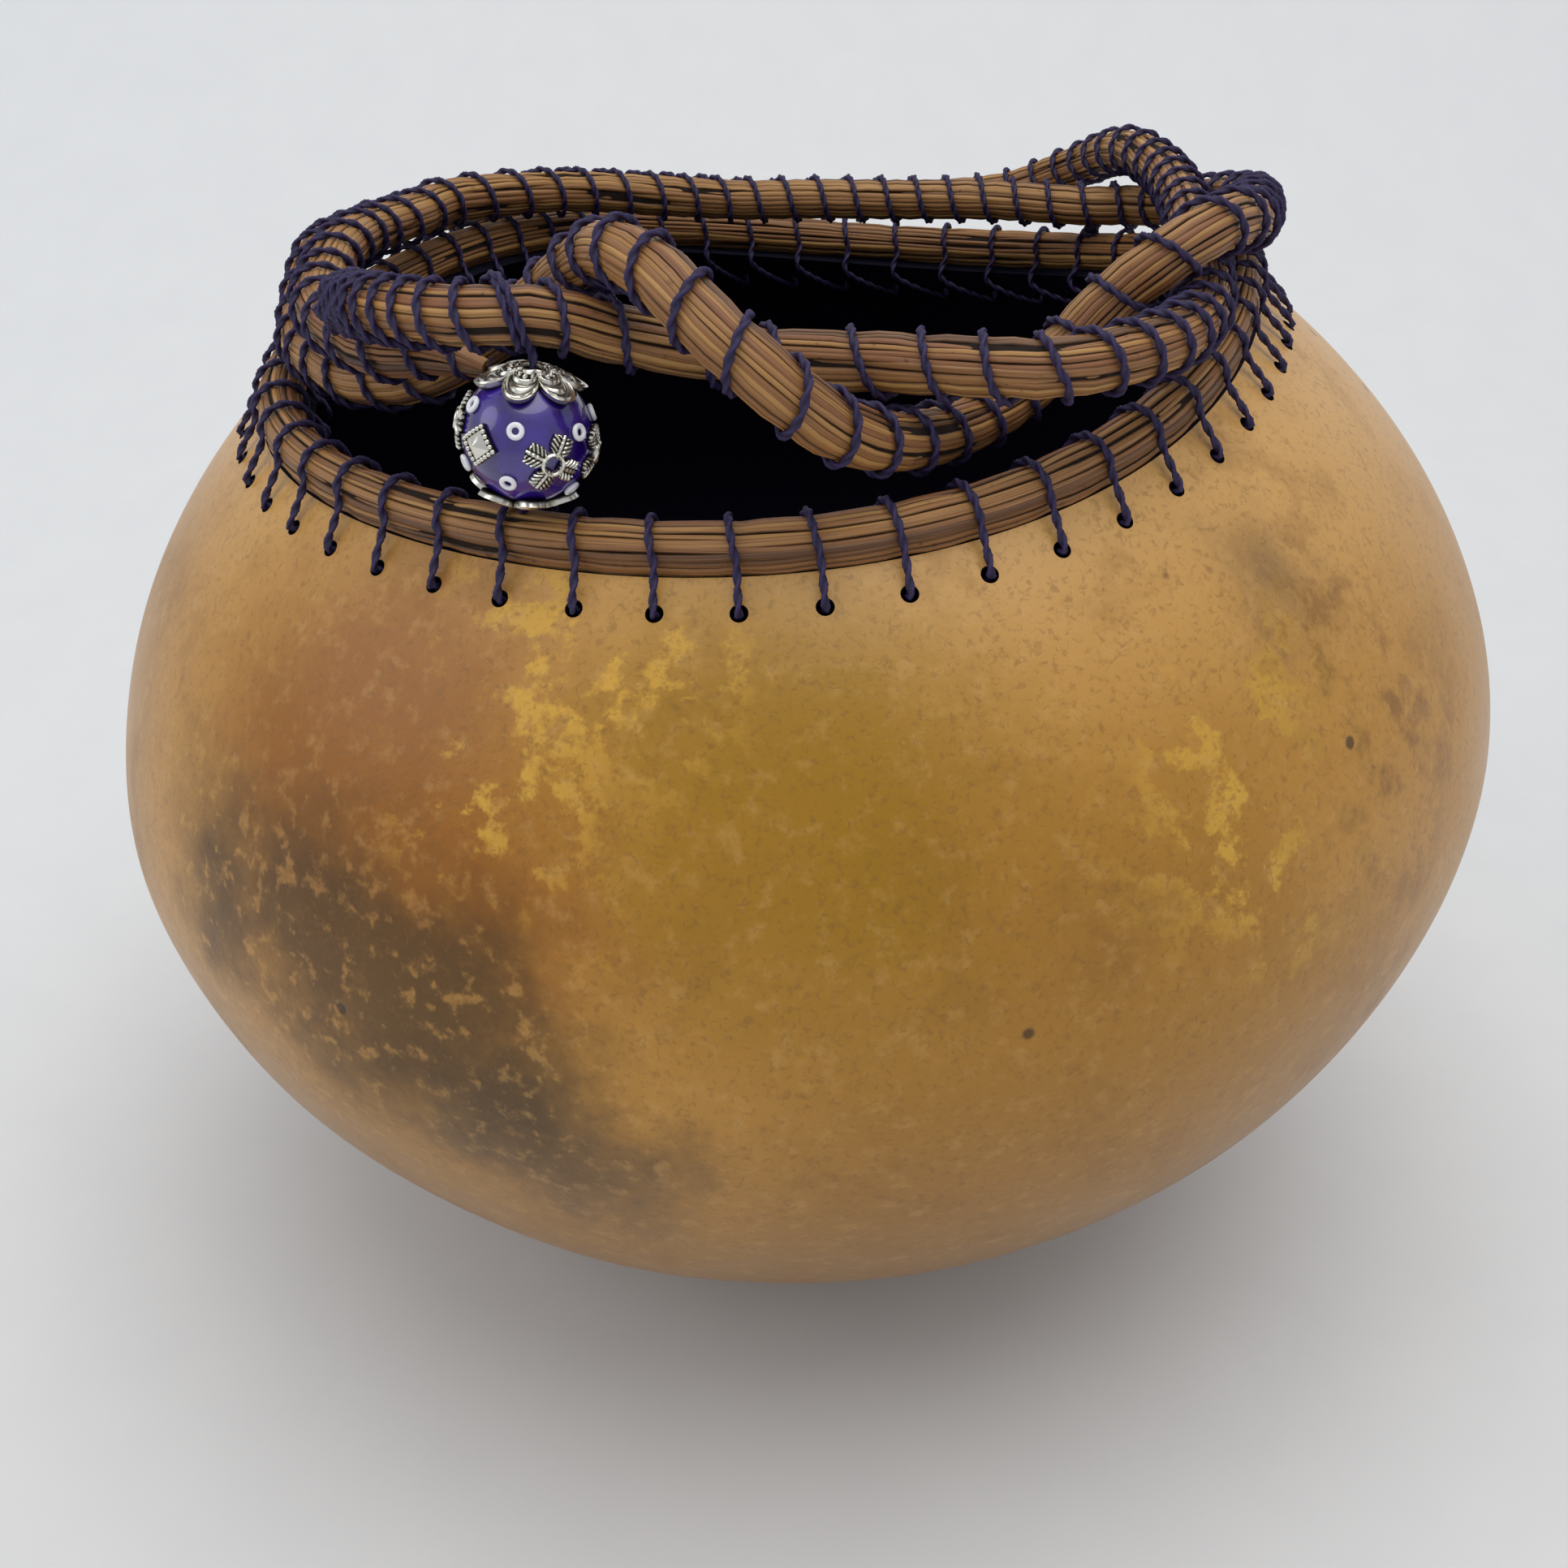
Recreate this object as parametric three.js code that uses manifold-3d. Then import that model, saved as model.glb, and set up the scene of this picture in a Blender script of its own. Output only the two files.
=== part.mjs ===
import * as THREE from 'three';
import { mergeVertices } from 'three/addons/utils/BufferGeometryUtils.js';
import Module from 'manifold-3d';

// A dried gourd cut open into a bowl. Its mouth is finished with a coil of pine needles,
// laced on through drilled holes, and a second coil loops freely over it and holds a bead.
// Millimetres, +Z up. The origin is the middle of the small flat spot that the gourd rests on.

// Gourd: a squat round, leaning on the table, widest a little above half of its full height
const GOURD_RADIUS = 100;
const GOURD_FULL_HEIGHT = 165.6;
const WIDEST_HEIGHT = 85.1;
const LOWER_FULLNESS = 1.84;
const UPPER_FULLNESS = 1.9;
const LEAN = THREE.MathUtils.degToRad(4.64);
const SWAY = -0.7;
const BOW = 1.3;
const WALL = 5;
const FLAT_SPOT_HEIGHT = 1.2;
const FLAT_SPOT_X = -5.7;
const GOURD_SEGMENTS = 48;
const OUTER_ROWS = 14;
const INNER_ROWS = 8;

// Mouth: the height of the rim coil's middle wanders round the mouth
const MOUTH_HEIGHT = 141.1;
const MOUTH_TILT_X = -2.0;
const MOUTH_TILT_Y = -0.7;
const MOUTH_SADDLE = 3.3;
const MOUTH_TWIST = -3.6;
const MOUTH_TRIPLE = 1.9;
const RIM_COIL_RADIUS = 2.9;
const RIM_SEAT_GAP = 0.35;
const RIM_COIL_STEPS = 66;

// Lacing: one waxed thread over the rim coil and through the drilled holes
const STITCHES = 54;
const FIRST_STITCH = 0.15;
const THREAD_RADIUS = 0.45;
const THREAD_GAP = 0.15;
const HOLE_RADIUS = 0.95;
const HOLE_DROP = 5.0;
const HOLE_SIDES = 5;
const DRILL_REACH = 2;
const STITCH_SLANT = THREE.MathUtils.degToRad(1.2);
const STITCH_TURNS = [180, 132, 84, 36];
const STITCH_CORNER_REACH = 1.09;
const STITCH_LIP_GAP = 1.1;
const STITCH_LIP_DROP = 0.4;
const STITCH_OUTSIDE = 0.8;
const STITCH_INSIDE = 1;

// Free coil: one bundle of needles that takes two turns over the mouth
const LOOP_COIL_RADIUS = 2.75;
const LOOP_COIL_STEP = 7.5;
const NEEDLE_RIDGES = 6;
const RIDGE_DEPTH = 0.07;
const BINDING_GAP = 0.4;
const BINDING_PITCH = 8.2;
const BINDING_START = THREE.MathUtils.degToRad(333);
const BINDING_SIDES = 7;
const BINDING_END_TURNS = 0.5;
const START_WRAP_LENGTH = 7;
const START_WRAP_PITCH = 1.5;

// Points along the free coil's middle, from its lashed start at the back left:
// over the front, round the right, along the back, and once more in front and behind
const LOOP_ROUTE = [
  [-58, -50, 158], [-51, -59, 159.5], [-41.5, -65, 160.5], [-34.5, -64.5, 160.5], [-26, -61.5, 157.5],
  [-11.5, -59.5, 154.5], [1.5, -63, 155], [10.5, -66, 155.5], [19, -68, 156], [30.5, -60, 156],
  [38, -46, 155.5], [41.5, -30, 156], [44.5, -13, 155.5], [46.5, 3, 155.5], [48, 18, 155.5],
  [48.5, 34, 155.5], [46, 52, 155], [40, 70, 148.5], [29.5, 78, 143], [9, 81.5, 141],
  [-13.5, 80.5, 141], [-26, 77.5, 142.5], [-37, 70, 144.5], [-47, 62, 146.5], [-63.5, 43.5, 147.5],
  [-70, 34, 148], [-74.5, 22.5, 148], [-75.5, 11, 148.5], [-74.5, 0, 147.5], [-73, -12, 145],
  [-71, -20, 144], [-66.5, -28, 144.5], [-62, -34, 144.5], [-56, -38.5, 145.5], [-51.5, -41, 147],
  [-46, -42, 150], [-41.5, -43, 153], [-37, -47, 157], [-30.5, -54.5, 163.5], [-26, -63, 166.5],
  [-21, -70, 165.5], [-17, -74, 162.5], [-10.5, -77, 157.5], [-4.5, -74, 152], [1.5, -67.5, 148],
  [9.5, -58, 146], [17.5, -50, 147.5], [23, -46, 151.5], [28, -45.5, 157], [33, -46, 161.5],
  [38, -43.5, 164], [43.5, -35, 163.5], [48, -24, 161], [52.5, -8, 159], [56, 8, 156.5],
  [55.5, 30, 152], [52.5, 46, 147.5], [47.5, 51.5, 146.5], [41.5, 53, 146], [26, 57.5, 146],
  [9, 60.5, 145.5], [-4.5, 61, 145.5], [-16.5, 60, 145.5], [-25.5, 57, 146.5], [-42.5, 49.5, 149],
  [-54, 40, 150.5], [-61.5, 32, 151], [-64, 24, 151], [-67.5, 13, 151.5], [-68.5, 3, 152.5],
  [-69, -8, 152.5], [-68, -19, 152], [-67, -26, 152], [-64.5, -34, 152], [-60.5, -41, 152],
  [-55.5, -46, 151.5], [-48.5, -49.5, 152], [-42.5, -52, 151],
];

// Back tie: a short post of wound thread between the rim coil and the free coil
const TIE_POST_TOP = [42, 54.1, 142.8];
const TIE_POST_FOOT = [42, 54.6, 141.4];
const TIE_POST_RADIUS = 1.3;
const TIE_POST_WAIST = 0.85;
const TIE_POST_WRAPS = 6;

// Bead: a round bead in two petalled caps, hung between the rim coil and the free coil
const BEAD_CENTRE = new THREE.Vector3(-36.2, -66.8, 148.4);
const BEAD_RADIUS = 6.9;
const BEAD_BORE_RADIUS = 1.1;
const BEAD_TILT = THREE.MathUtils.degToRad(8);
const TIE_HOOK_START = 235;
const TIE_HOOK_END = -5;
const TIE_HOOK_STEP = 40;
const TIE_HOOK_REACH = 1.12;
const TIE_TAIL_ALONG = 2.5;
const TIE_TAIL_INSET = 6.2;
const TIE_TAIL_DROP = 5;
const TIE_BEND_INSET = 5.6;
const TIE_BEND_DROP = 1.25;
const CAP_GAP = 0.25;
const CAP_THICKNESS = 0.55;
const CAP_PETALS = 6;
const CAP_HOLLOW_ANGLE = THREE.MathUtils.degToRad(26);
const CAP_PETAL_ANGLE = THREE.MathUtils.degToRad(42);
const TRIM_GAP = 0.4;
const RINGLET_RADIUS = 0.6;
const RINGLET_TUBE = 0.36;
const STUD_SIZE = 3.6;
const STUD_TOP_SHARE = 0.82;
const STUD_RIM_HEIGHT = 0.7;
const STUD_PEAK_HEIGHT = 1.4;
const FLOWER_RADIUS = 2.8;
const FLOWER_HOLLOW = 0.45;
const FLOWER_THICKNESS = 0.7;
const FLOWER_EYE_RADIUS = 0.55;

// Places on the bead, each as a turn round its bore and a height angle, in degrees.
// A turn of -90 is the front, and the first of each kind is on that side.
const RINGLET_PLACES = [
  [-95, 22], [-34, 20], [-152, 30], [-152, -22], [-99, -25], [-26, -36], [14, 24],
  [40, -24], [92, 24], [132, -30],
];
const STUD_PLACES = [[-127, 3], [62, 6]];
const FLOWER_PLACES = [[-62, -3], [178, 6], [-2, -6]];

// Colours
const GOURD_TAN = 0xb08250;
const NEEDLE_BROWN = 0x9a6a3c;
const THREAD_PURPLE = 0x2f2648;
const BEAD_PURPLE = 0x2c1a86;
const SILVER = 0xc8c6bc;
const MILK_WHITE = 0xeeeeee;

const wasm = await Module();
wasm.setup();

const piece = new THREE.Group();
piece.position.set(-FLAT_SPOT_X, 0, -FLAT_SPOT_HEIGHT);

function addMesh(name, geometry, color, roughness, metalness = 0) {
  const mesh = new THREE.Mesh(geometry, new THREE.MeshStandardMaterial({ color, roughness, metalness }));
  mesh.name = name;
  piece.add(mesh);
  return mesh;
}

function toSolid(geometry) {
  const bare = geometry.clone();
  bare.deleteAttribute('normal');
  bare.deleteAttribute('uv');
  const merged = mergeVertices(bare, 1e-4);
  return new wasm.Manifold(new wasm.Mesh({
    numProp: 3,
    vertProperties: new Float32Array(merged.attributes.position.array),
    triVerts: new Uint32Array(merged.index.array),
  }));
}

function toGeometry(solid) {
  const mesh = solid.getMesh();
  const geometry = new THREE.BufferGeometry();
  geometry.setAttribute('position', new THREE.BufferAttribute(mesh.vertProperties, 3));
  geometry.setIndex(new THREE.BufferAttribute(mesh.triVerts, 1));
  geometry.computeVertexNormals();
  return geometry;
}

// A path that passes exactly through its points, one step for each of them
class PointPath extends THREE.Curve {
  constructor(points) {
    super();
    this.points = points;
  }

  getPoint(t, target = new THREE.Vector3()) {
    const last = this.points.length - 1;
    const place = Math.min(t, 1) * last;
    const start = Math.min(Math.floor(place), last - 1);
    return target.lerpVectors(this.points[start], this.points[start + 1], place - start);
  }

  getPointAt(u, target) {
    return this.getPoint(u, target);
  }

  getTangentAt(u, target = new THREE.Vector3()) {
    const last = this.points.length - 1;
    const near = Math.round(u * last);
    const before = this.points[Math.max(near - 1, 0)];
    const after = this.points[Math.min(near + 1, last)];
    return target.subVectors(after, before).normalize();
  }

  getSpacedPoints() {
    return this.points;
  }
}

function sweep(shape, points) {
  const path = new PointPath(points);
  return new THREE.ExtrudeGeometry(shape, {
    steps: points.length - 1,
    extrudePath: path,
    curveSegments: 1,
    bevelEnabled: false,
  });
}

function polygon(radius, sides, ridgeDepth = 0) {
  const corners = [];
  for (let k = 0; k < sides; k += 1) {
    const angle = (k / sides) * 2 * Math.PI;
    const reach = radius * (k % 2 ? 1 - ridgeDepth : 1);
    corners.push(new THREE.Vector2(reach * Math.cos(angle), reach * Math.sin(angle)));
  }
  return new THREE.Shape(corners);
}

// Gourd frame: z runs up the gourd's own axis, then the whole thing leans towards -X
function wallRadius(z, inset) {
  const below = z < WIDEST_HEIGHT;
  const reach = (below ? WIDEST_HEIGHT : GOURD_FULL_HEIGHT - WIDEST_HEIGHT) - inset;
  const share = Math.min(Math.abs(z - WIDEST_HEIGHT) / reach, 1);
  const fullness = below ? LOWER_FULLNESS : UPPER_FULLNESS;
  return (GOURD_RADIUS - inset) * (1 - share ** fullness) ** (1 / fullness);
}

function place(radius, angle, z) {
  const share = (z - WIDEST_HEIGHT) / (z < WIDEST_HEIGHT ? WIDEST_HEIGHT : GOURD_FULL_HEIGHT - WIDEST_HEIGHT);
  const x = radius * Math.cos(angle) + SWAY * share + BOW * share * share;
  return new THREE.Vector3(
    x * Math.cos(LEAN) - z * Math.sin(LEAN),
    radius * Math.sin(angle),
    x * Math.sin(LEAN) + z * Math.cos(LEAN),
  );
}

function rimHeight(angle) {
  return MOUTH_HEIGHT + MOUTH_TILT_X * Math.cos(angle) + MOUTH_TILT_Y * Math.sin(angle)
    + MOUTH_SADDLE * Math.cos(2 * angle) + MOUTH_TWIST * Math.sin(2 * angle)
    + MOUTH_TRIPLE * Math.cos(3 * angle);
}

function cutHeight(angle) {
  return rimHeight(angle) - RIM_COIL_RADIUS - RIM_SEAT_GAP;
}

function wallNormal(z) {
  const rise = 0.5;
  const slope = (wallRadius(z + rise, 0) - wallRadius(z - rise, 0)) / (2 * rise);
  return new THREE.Vector2(1, -slope).normalize();
}

function gourdGeometry() {
  const profile = [];
  for (let k = 0; k <= OUTER_ROWS; k += 1) profile.push({ inset: 0, share: k / OUTER_ROWS });
  for (let k = 0; k <= INNER_ROWS; k += 1) profile.push({ inset: WALL, share: 1 - k / INNER_ROWS });
  const nominal = profile.map((row, k) => new THREE.Vector2(k === 0 || k === profile.length - 1 ? 0 : 1, k));
  const geometry = new THREE.LatheGeometry(nominal, GOURD_SEGMENTS);
  const position = geometry.attributes.position;
  for (let k = 0; k < position.count; k += 1) {
    const segment = Math.floor(k / profile.length) % GOURD_SEGMENTS;
    const { inset, share } = profile[k % profile.length];
    const angle = (segment / GOURD_SEGMENTS) * 2 * Math.PI;
    const z = inset + (cutHeight(angle) - inset) * (1 - Math.cos(share * Math.PI)) / 2;
    const radius = share === 0 ? 0 : wallRadius(z, inset);
    const point = place(radius, angle, z);
    point.z = inset === 0 ? Math.max(point.z, FLAT_SPOT_HEIGHT) : point.z;
    position.setXYZ(k, point.x, point.y, point.z);
  }
  return geometry;
}

function stitchAngle(k) {
  return ((k + FIRST_STITCH) / STITCHES) * 2 * Math.PI;
}

function holeSpot(angle) {
  const z = rimHeight(angle) - HOLE_DROP;
  return { radius: wallRadius(z, 0), z, out: wallNormal(z) };
}

function wallPoint(spot, angle, along) {
  return place(spot.radius + spot.out.x * along, angle, spot.z + spot.out.y * along);
}

function drilledGourd() {
  let solid = toSolid(gourdGeometry());
  const bit = polygon(HOLE_RADIUS, HOLE_SIDES);
  for (let k = 0; k < STITCHES; k += 1) {
    const angle = stitchAngle(k);
    const spot = holeSpot(angle);
    const ends = [DRILL_REACH, -WALL - DRILL_REACH];
    const drill = sweep(bit, ends.map((along) => wallPoint(spot, angle, along)));
    solid = solid.subtract(toSolid(drill));
  }
  return toGeometry(solid);
}

function rimPoint(angle, outward, upward) {
  const z = rimHeight(angle);
  return place(wallRadius(z, 0) + outward, angle, z + upward);
}

function rimCoilGeometry() {
  const nominal = 10;
  const geometry = new THREE.TorusGeometry(nominal, 1, 2 * NEEDLE_RIDGES, RIM_COIL_STEPS);
  const position = geometry.attributes.position;
  const perRing = RIM_COIL_STEPS + 1;
  for (let k = 0; k < position.count; k += 1) {
    const side = Math.floor(k / perRing) % (2 * NEEDLE_RIDGES);
    const step = (k % perRing) % RIM_COIL_STEPS;
    const angle = (step / RIM_COIL_STEPS) * 2 * Math.PI;
    const turn = (side / (2 * NEEDLE_RIDGES)) * 2 * Math.PI;
    const reach = RIM_COIL_RADIUS * (side % 2 ? 1 - RIDGE_DEPTH : 1);
    const point = rimPoint(angle, reach * Math.cos(turn), reach * Math.sin(turn));
    position.setXYZ(k, point.x, point.y, point.z);
  }
  return geometry;
}

// Each stitch climbs inside the mouth, goes over the coil and down into its hole
function lacingPoints() {
  const points = [];
  const around = (RIM_COIL_RADIUS + THREAD_GAP + THREAD_RADIUS) * STITCH_CORNER_REACH;
  for (let k = 0; k < STITCHES; k += 1) {
    const angle = stitchAngle(k);
    const start = angle - STITCH_SLANT;
    const lip = cutHeight(start);
    points.push(place(wallRadius(lip, WALL) - STITCH_LIP_GAP, start, lip - STITCH_LIP_DROP));
    STITCH_TURNS.forEach((degrees, step) => {
      const turn = THREE.MathUtils.degToRad(degrees);
      const along = start + STITCH_SLANT * step / STITCH_TURNS.length;
      points.push(rimPoint(along, around * Math.cos(turn), around * Math.sin(turn)));
    });
    const spot = holeSpot(angle);
    points.push(wallPoint(spot, angle, STITCH_OUTSIDE));
    points.push(wallPoint(spot, angle, -WALL / 2));
    points.push(wallPoint(spot, angle, -WALL - STITCH_INSIDE));
  }
  return points;
}

const loopCurve = new THREE.CatmullRomCurve3(
  LOOP_ROUTE.map((point) => new THREE.Vector3(...point)),
  false,
  'centripetal',
);
loopCurve.arcLengthDivisions = 2400;
const loopLength = loopCurve.getLength();

function loopCoilGeometry() {
  const steps = Math.round(loopLength / LOOP_COIL_STEP);
  const section = polygon(LOOP_COIL_RADIUS, 2 * NEEDLE_RIDGES, RIDGE_DEPTH);
  return sweep(section, loopCurve.getSpacedPoints(steps));
}

// The binding winds closely at the lashed start and then opens out
function bindingPoints() {
  const startTurns = START_WRAP_LENGTH / START_WRAP_PITCH;
  const turns = startTurns + (loopLength - START_WRAP_LENGTH) / BINDING_PITCH;
  const firstStep = 2;
  const lastStep = Math.floor((turns - BINDING_END_TURNS) * BINDING_SIDES);
  const frameSteps = 1200;
  const frames = loopCurve.computeFrenetFrames(frameSteps, false);
  const clear = LOOP_COIL_RADIUS + BINDING_GAP + THREAD_RADIUS;
  const radius = clear / Math.cos(Math.PI / BINDING_SIDES);
  const points = [];
  for (let k = firstStep; k <= lastStep; k += 1) {
    const turn = k / BINDING_SIDES;
    const along = turn < startTurns
      ? turn * START_WRAP_PITCH
      : START_WRAP_LENGTH + (turn - startTurns) * BINDING_PITCH;
    const share = along / loopLength;
    const frame = Math.round(share * frameSteps);
    const angle = turn * 2 * Math.PI + BINDING_START;
    points.push(loopCurve.getPointAt(share)
      .addScaledVector(frames.normals[frame], radius * Math.cos(angle))
      .addScaledVector(frames.binormals[frame], radius * Math.sin(angle)));
  }
  return points;
}

function tiePostGeometry() {
  const sides = 10;
  const foot = new THREE.Vector3(...TIE_POST_FOOT);
  const top = new THREE.Vector3(...TIE_POST_TOP);
  const height = foot.distanceTo(top);
  const profile = [new THREE.Vector2(0, 0)];
  for (let k = 0; k < TIE_POST_WRAPS; k += 1) {
    profile.push(new THREE.Vector2(TIE_POST_RADIUS * TIE_POST_WAIST, (k / TIE_POST_WRAPS) * height));
    profile.push(new THREE.Vector2(TIE_POST_RADIUS, ((k + 0.5) / TIE_POST_WRAPS) * height));
  }
  profile.push(new THREE.Vector2(TIE_POST_RADIUS * TIE_POST_WAIST, height));
  profile.push(new THREE.Vector2(0, height));
  const geometry = new THREE.LatheGeometry(profile, sides);
  const turn = new THREE.Quaternion().setFromUnitVectors(
    new THREE.Vector3(0, 1, 0),
    top.clone().sub(foot).normalize(),
  );
  return geometry.applyQuaternion(turn).translate(foot.x, foot.y, foot.z);
}

// Bead frame: Y is the bore, and the bead tilts a little to the right at the top
const beadTurn = new THREE.Quaternion()
  .setFromAxisAngle(new THREE.Vector3(0, 1, 0), BEAD_TILT)
  .multiply(new THREE.Quaternion().setFromAxisAngle(new THREE.Vector3(1, 0, 0), Math.PI / 2));

function onBead(geometry) {
  return geometry.applyQuaternion(beadTurn).translate(BEAD_CENTRE.x, BEAD_CENTRE.y, BEAD_CENTRE.z);
}

function beadCoreGeometry() {
  const rows = 12;
  const opening = Math.asin(BEAD_BORE_RADIUS / BEAD_RADIUS);
  const profile = [];
  for (let k = 0; k <= rows; k += 1) {
    const angle = -Math.PI / 2 + opening + (k / rows) * (Math.PI - 2 * opening);
    profile.push(new THREE.Vector2(BEAD_RADIUS * Math.cos(angle), BEAD_RADIUS * Math.sin(angle)));
  }
  profile.push(profile[0].clone());
  return onBead(new THREE.LatheGeometry(profile, 16));
}

function beadCapGeometry(end) {
  const rows = 3;
  const segments = CAP_PETALS * 4;
  const innerRadius = BEAD_RADIUS + CAP_GAP;
  const outerRadius = innerRadius + CAP_THICKNESS;
  const opening = Math.asin(BEAD_BORE_RADIUS / innerRadius);
  const profile = [];
  for (let k = rows; k >= 0; k -= 1) profile.push({ reach: outerRadius, share: k / rows });
  for (let k = 0; k <= rows; k += 1) profile.push({ reach: innerRadius, share: k / rows });
  profile.push(profile[0]);
  const nominal = profile.map((row, k) => new THREE.Vector2(1 + row.share, k));
  const geometry = new THREE.LatheGeometry(nominal, segments);
  const position = geometry.attributes.position;
  for (let k = 0; k < position.count; k += 1) {
    const segment = Math.floor(k / profile.length) % segments;
    const { reach, share } = profile[k % profile.length];
    const around = (segment / segments) * 2 * Math.PI * end;
    const petal = Math.abs(Math.cos(around * CAP_PETALS / 2));
    const edge = CAP_HOLLOW_ANGLE + (CAP_PETAL_ANGLE - CAP_HOLLOW_ANGLE) * petal;
    const polar = opening + (edge - opening) * share;
    const flat = reach * Math.sin(polar);
    const flipped = Math.PI / 2;
    position.setXYZ(
      k,
      flat * Math.cos(around + flipped),
      end * reach * Math.cos(polar),
      -flat * Math.sin(around + flipped),
    );
  }
  return onBead(geometry);
}

// Wraps a small flat shape, lying in its own XY plane, onto the bead at a turn and height angle
function pressOnBead(geometry, [turn, height]) {
  const position = geometry.attributes.position;
  const away = new THREE.Vector3().setFromSphericalCoords(
    1,
    THREE.MathUtils.degToRad(90 - height),
    THREE.MathUtils.degToRad(turn + 90),
  );
  const side = new THREE.Vector3(0, 1, 0).cross(away).normalize();
  const up = away.clone().cross(side);
  const base = BEAD_RADIUS + TRIM_GAP;
  for (let k = 0; k < position.count; k += 1) {
    const point = away.clone().multiplyScalar(base)
      .addScaledVector(side, position.getX(k))
      .addScaledVector(up, position.getY(k))
      .normalize()
      .multiplyScalar(base + position.getZ(k));
    position.setXYZ(k, point.x, point.y, point.z);
  }
  return onBead(geometry);
}

function ringletGeometry() {
  return new THREE.TorusGeometry(RINGLET_RADIUS, RINGLET_TUBE, 4, 7).translate(0, 0, RINGLET_TUBE);
}

function studGeometry() {
  const half = STUD_SIZE / 2;
  const topRadius = half * STUD_TOP_SHARE;
  const bed = new THREE.CylinderGeometry(topRadius, half * Math.SQRT2, STUD_RIM_HEIGHT, 4, 1);
  const position = bed.attributes.position;
  for (let k = 0; k < position.count; k += 1) {
    const middle = Math.hypot(position.getX(k), position.getZ(k)) < topRadius / 2;
    if (middle && position.getY(k) > 0) position.setY(k, STUD_PEAK_HEIGHT - STUD_RIM_HEIGHT / 2);
  }
  return bed.rotateX(Math.PI / 2).translate(0, 0, STUD_RIM_HEIGHT / 2);
}

function flowerGeometry() {
  const petals = 4;
  const sides = petals * 6;
  const outline = [];
  for (let k = 0; k < sides; k += 1) {
    const angle = (k / sides) * 2 * Math.PI;
    const petal = Math.abs(Math.cos(angle * petals / 2));
    const reach = FLOWER_RADIUS * (FLOWER_HOLLOW + (1 - FLOWER_HOLLOW) * petal);
    outline.push(new THREE.Vector2(reach * Math.cos(angle), reach * Math.sin(angle)));
  }
  const shape = new THREE.Shape(outline);
  shape.holes.push(new THREE.Path().absarc(0, 0, FLOWER_EYE_RADIUS, 0, 2 * Math.PI, true));
  return new THREE.ExtrudeGeometry(shape, { depth: FLOWER_THICKNESS, curveSegments: 3, bevelEnabled: false });
}

// How far along the free coil's first stretch the point nearest to a place is
function shareOfLoopAbove(point) {
  const firstStretch = 0.1;
  const tries = 200;
  let best = 0;
  let nearest = Infinity;
  for (let k = 0; k <= tries; k += 1) {
    const share = (k / tries) * firstStretch;
    const distance = loopCurve.getPointAt(share).distanceTo(point);
    if (distance < nearest) {
      nearest = distance;
      best = share;
    }
  }
  return best;
}

// The tie starts beside the rim coil inside the mouth, runs up through the bead's bore,
// and hooks once round the free coil above it
function beadTiePoints() {
  const bore = new THREE.Vector3(0, 1, 0).applyQuaternion(beadTurn);
  const boreEnd = BEAD_RADIUS + CAP_THICKNESS;
  const foot = BEAD_CENTRE.clone().addScaledVector(bore, -boreEnd - 2 * THREAD_RADIUS);
  const head = BEAD_CENTRE.clone().addScaledVector(bore, boreEnd + THREAD_RADIUS);
  const hook = (LOOP_COIL_RADIUS + THREAD_RADIUS + BINDING_GAP) * TIE_HOOK_REACH;
  const shareAbove = shareOfLoopAbove(head);
  const tangent = loopCurve.getTangentAt(shareAbove);
  const back = new THREE.Vector3(0, 0, 1).cross(tangent).normalize();
  const up = tangent.clone().cross(back);
  const points = [
    new THREE.Vector3(foot.x + TIE_TAIL_ALONG, foot.y + TIE_TAIL_INSET, foot.z - TIE_TAIL_DROP),
    new THREE.Vector3(foot.x + TIE_TAIL_ALONG, foot.y + TIE_BEND_INSET, foot.z - TIE_BEND_DROP),
    foot,
    BEAD_CENTRE.clone(),
    head,
  ];
  for (let degrees = TIE_HOOK_START; degrees >= TIE_HOOK_END; degrees -= TIE_HOOK_STEP) {
    const turn = THREE.MathUtils.degToRad(degrees);
    const along = BINDING_PITCH * (degrees - TIE_HOOK_START) / 360;
    points.push(loopCurve.getPointAt(shareAbove + along / loopLength)
      .addScaledVector(back, hook * Math.cos(turn))
      .addScaledVector(up, hook * Math.sin(turn)));
  }
  return points;
}

addMesh('gourd_shell', drilledGourd(), GOURD_TAN, 0.5);
addMesh('rim_coil', rimCoilGeometry(), NEEDLE_BROWN, 0.6);
addMesh('rim_lacing', sweep(polygon(THREAD_RADIUS, 3), lacingPoints()), THREAD_PURPLE, 0.55);
addMesh('loop_coil', loopCoilGeometry(), NEEDLE_BROWN, 0.6);
addMesh('loop_binding', sweep(polygon(THREAD_RADIUS, 3), bindingPoints()), THREAD_PURPLE, 0.55);
addMesh('back_tie', tiePostGeometry(), THREAD_PURPLE, 0.55);
addMesh('bead_core', beadCoreGeometry(), BEAD_PURPLE, 0.12);
addMesh('bead_cap_top', beadCapGeometry(1), SILVER, 0.3, 1);
addMesh('bead_cap_bottom', beadCapGeometry(-1), SILVER, 0.3, 1);
addMesh('bead_tie', sweep(polygon(THREAD_RADIUS, 6), beadTiePoints()), THREAD_PURPLE, 0.55);
RINGLET_PLACES.forEach((spot, k) => {
  addMesh(`bead_ringlet_${k + 1}`, pressOnBead(ringletGeometry(), spot), MILK_WHITE, 0.2);
});
STUD_PLACES.forEach((spot, k) => {
  addMesh(`bead_stud_${k + 1}`, pressOnBead(studGeometry(), spot), SILVER, 0.3, 1);
});
FLOWER_PLACES.forEach((spot, k) => {
  addMesh(`bead_flower_${k + 1}`, pressOnBead(flowerGeometry(), spot), SILVER, 0.3, 1);
});

export default piece;
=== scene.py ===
import math

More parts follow.
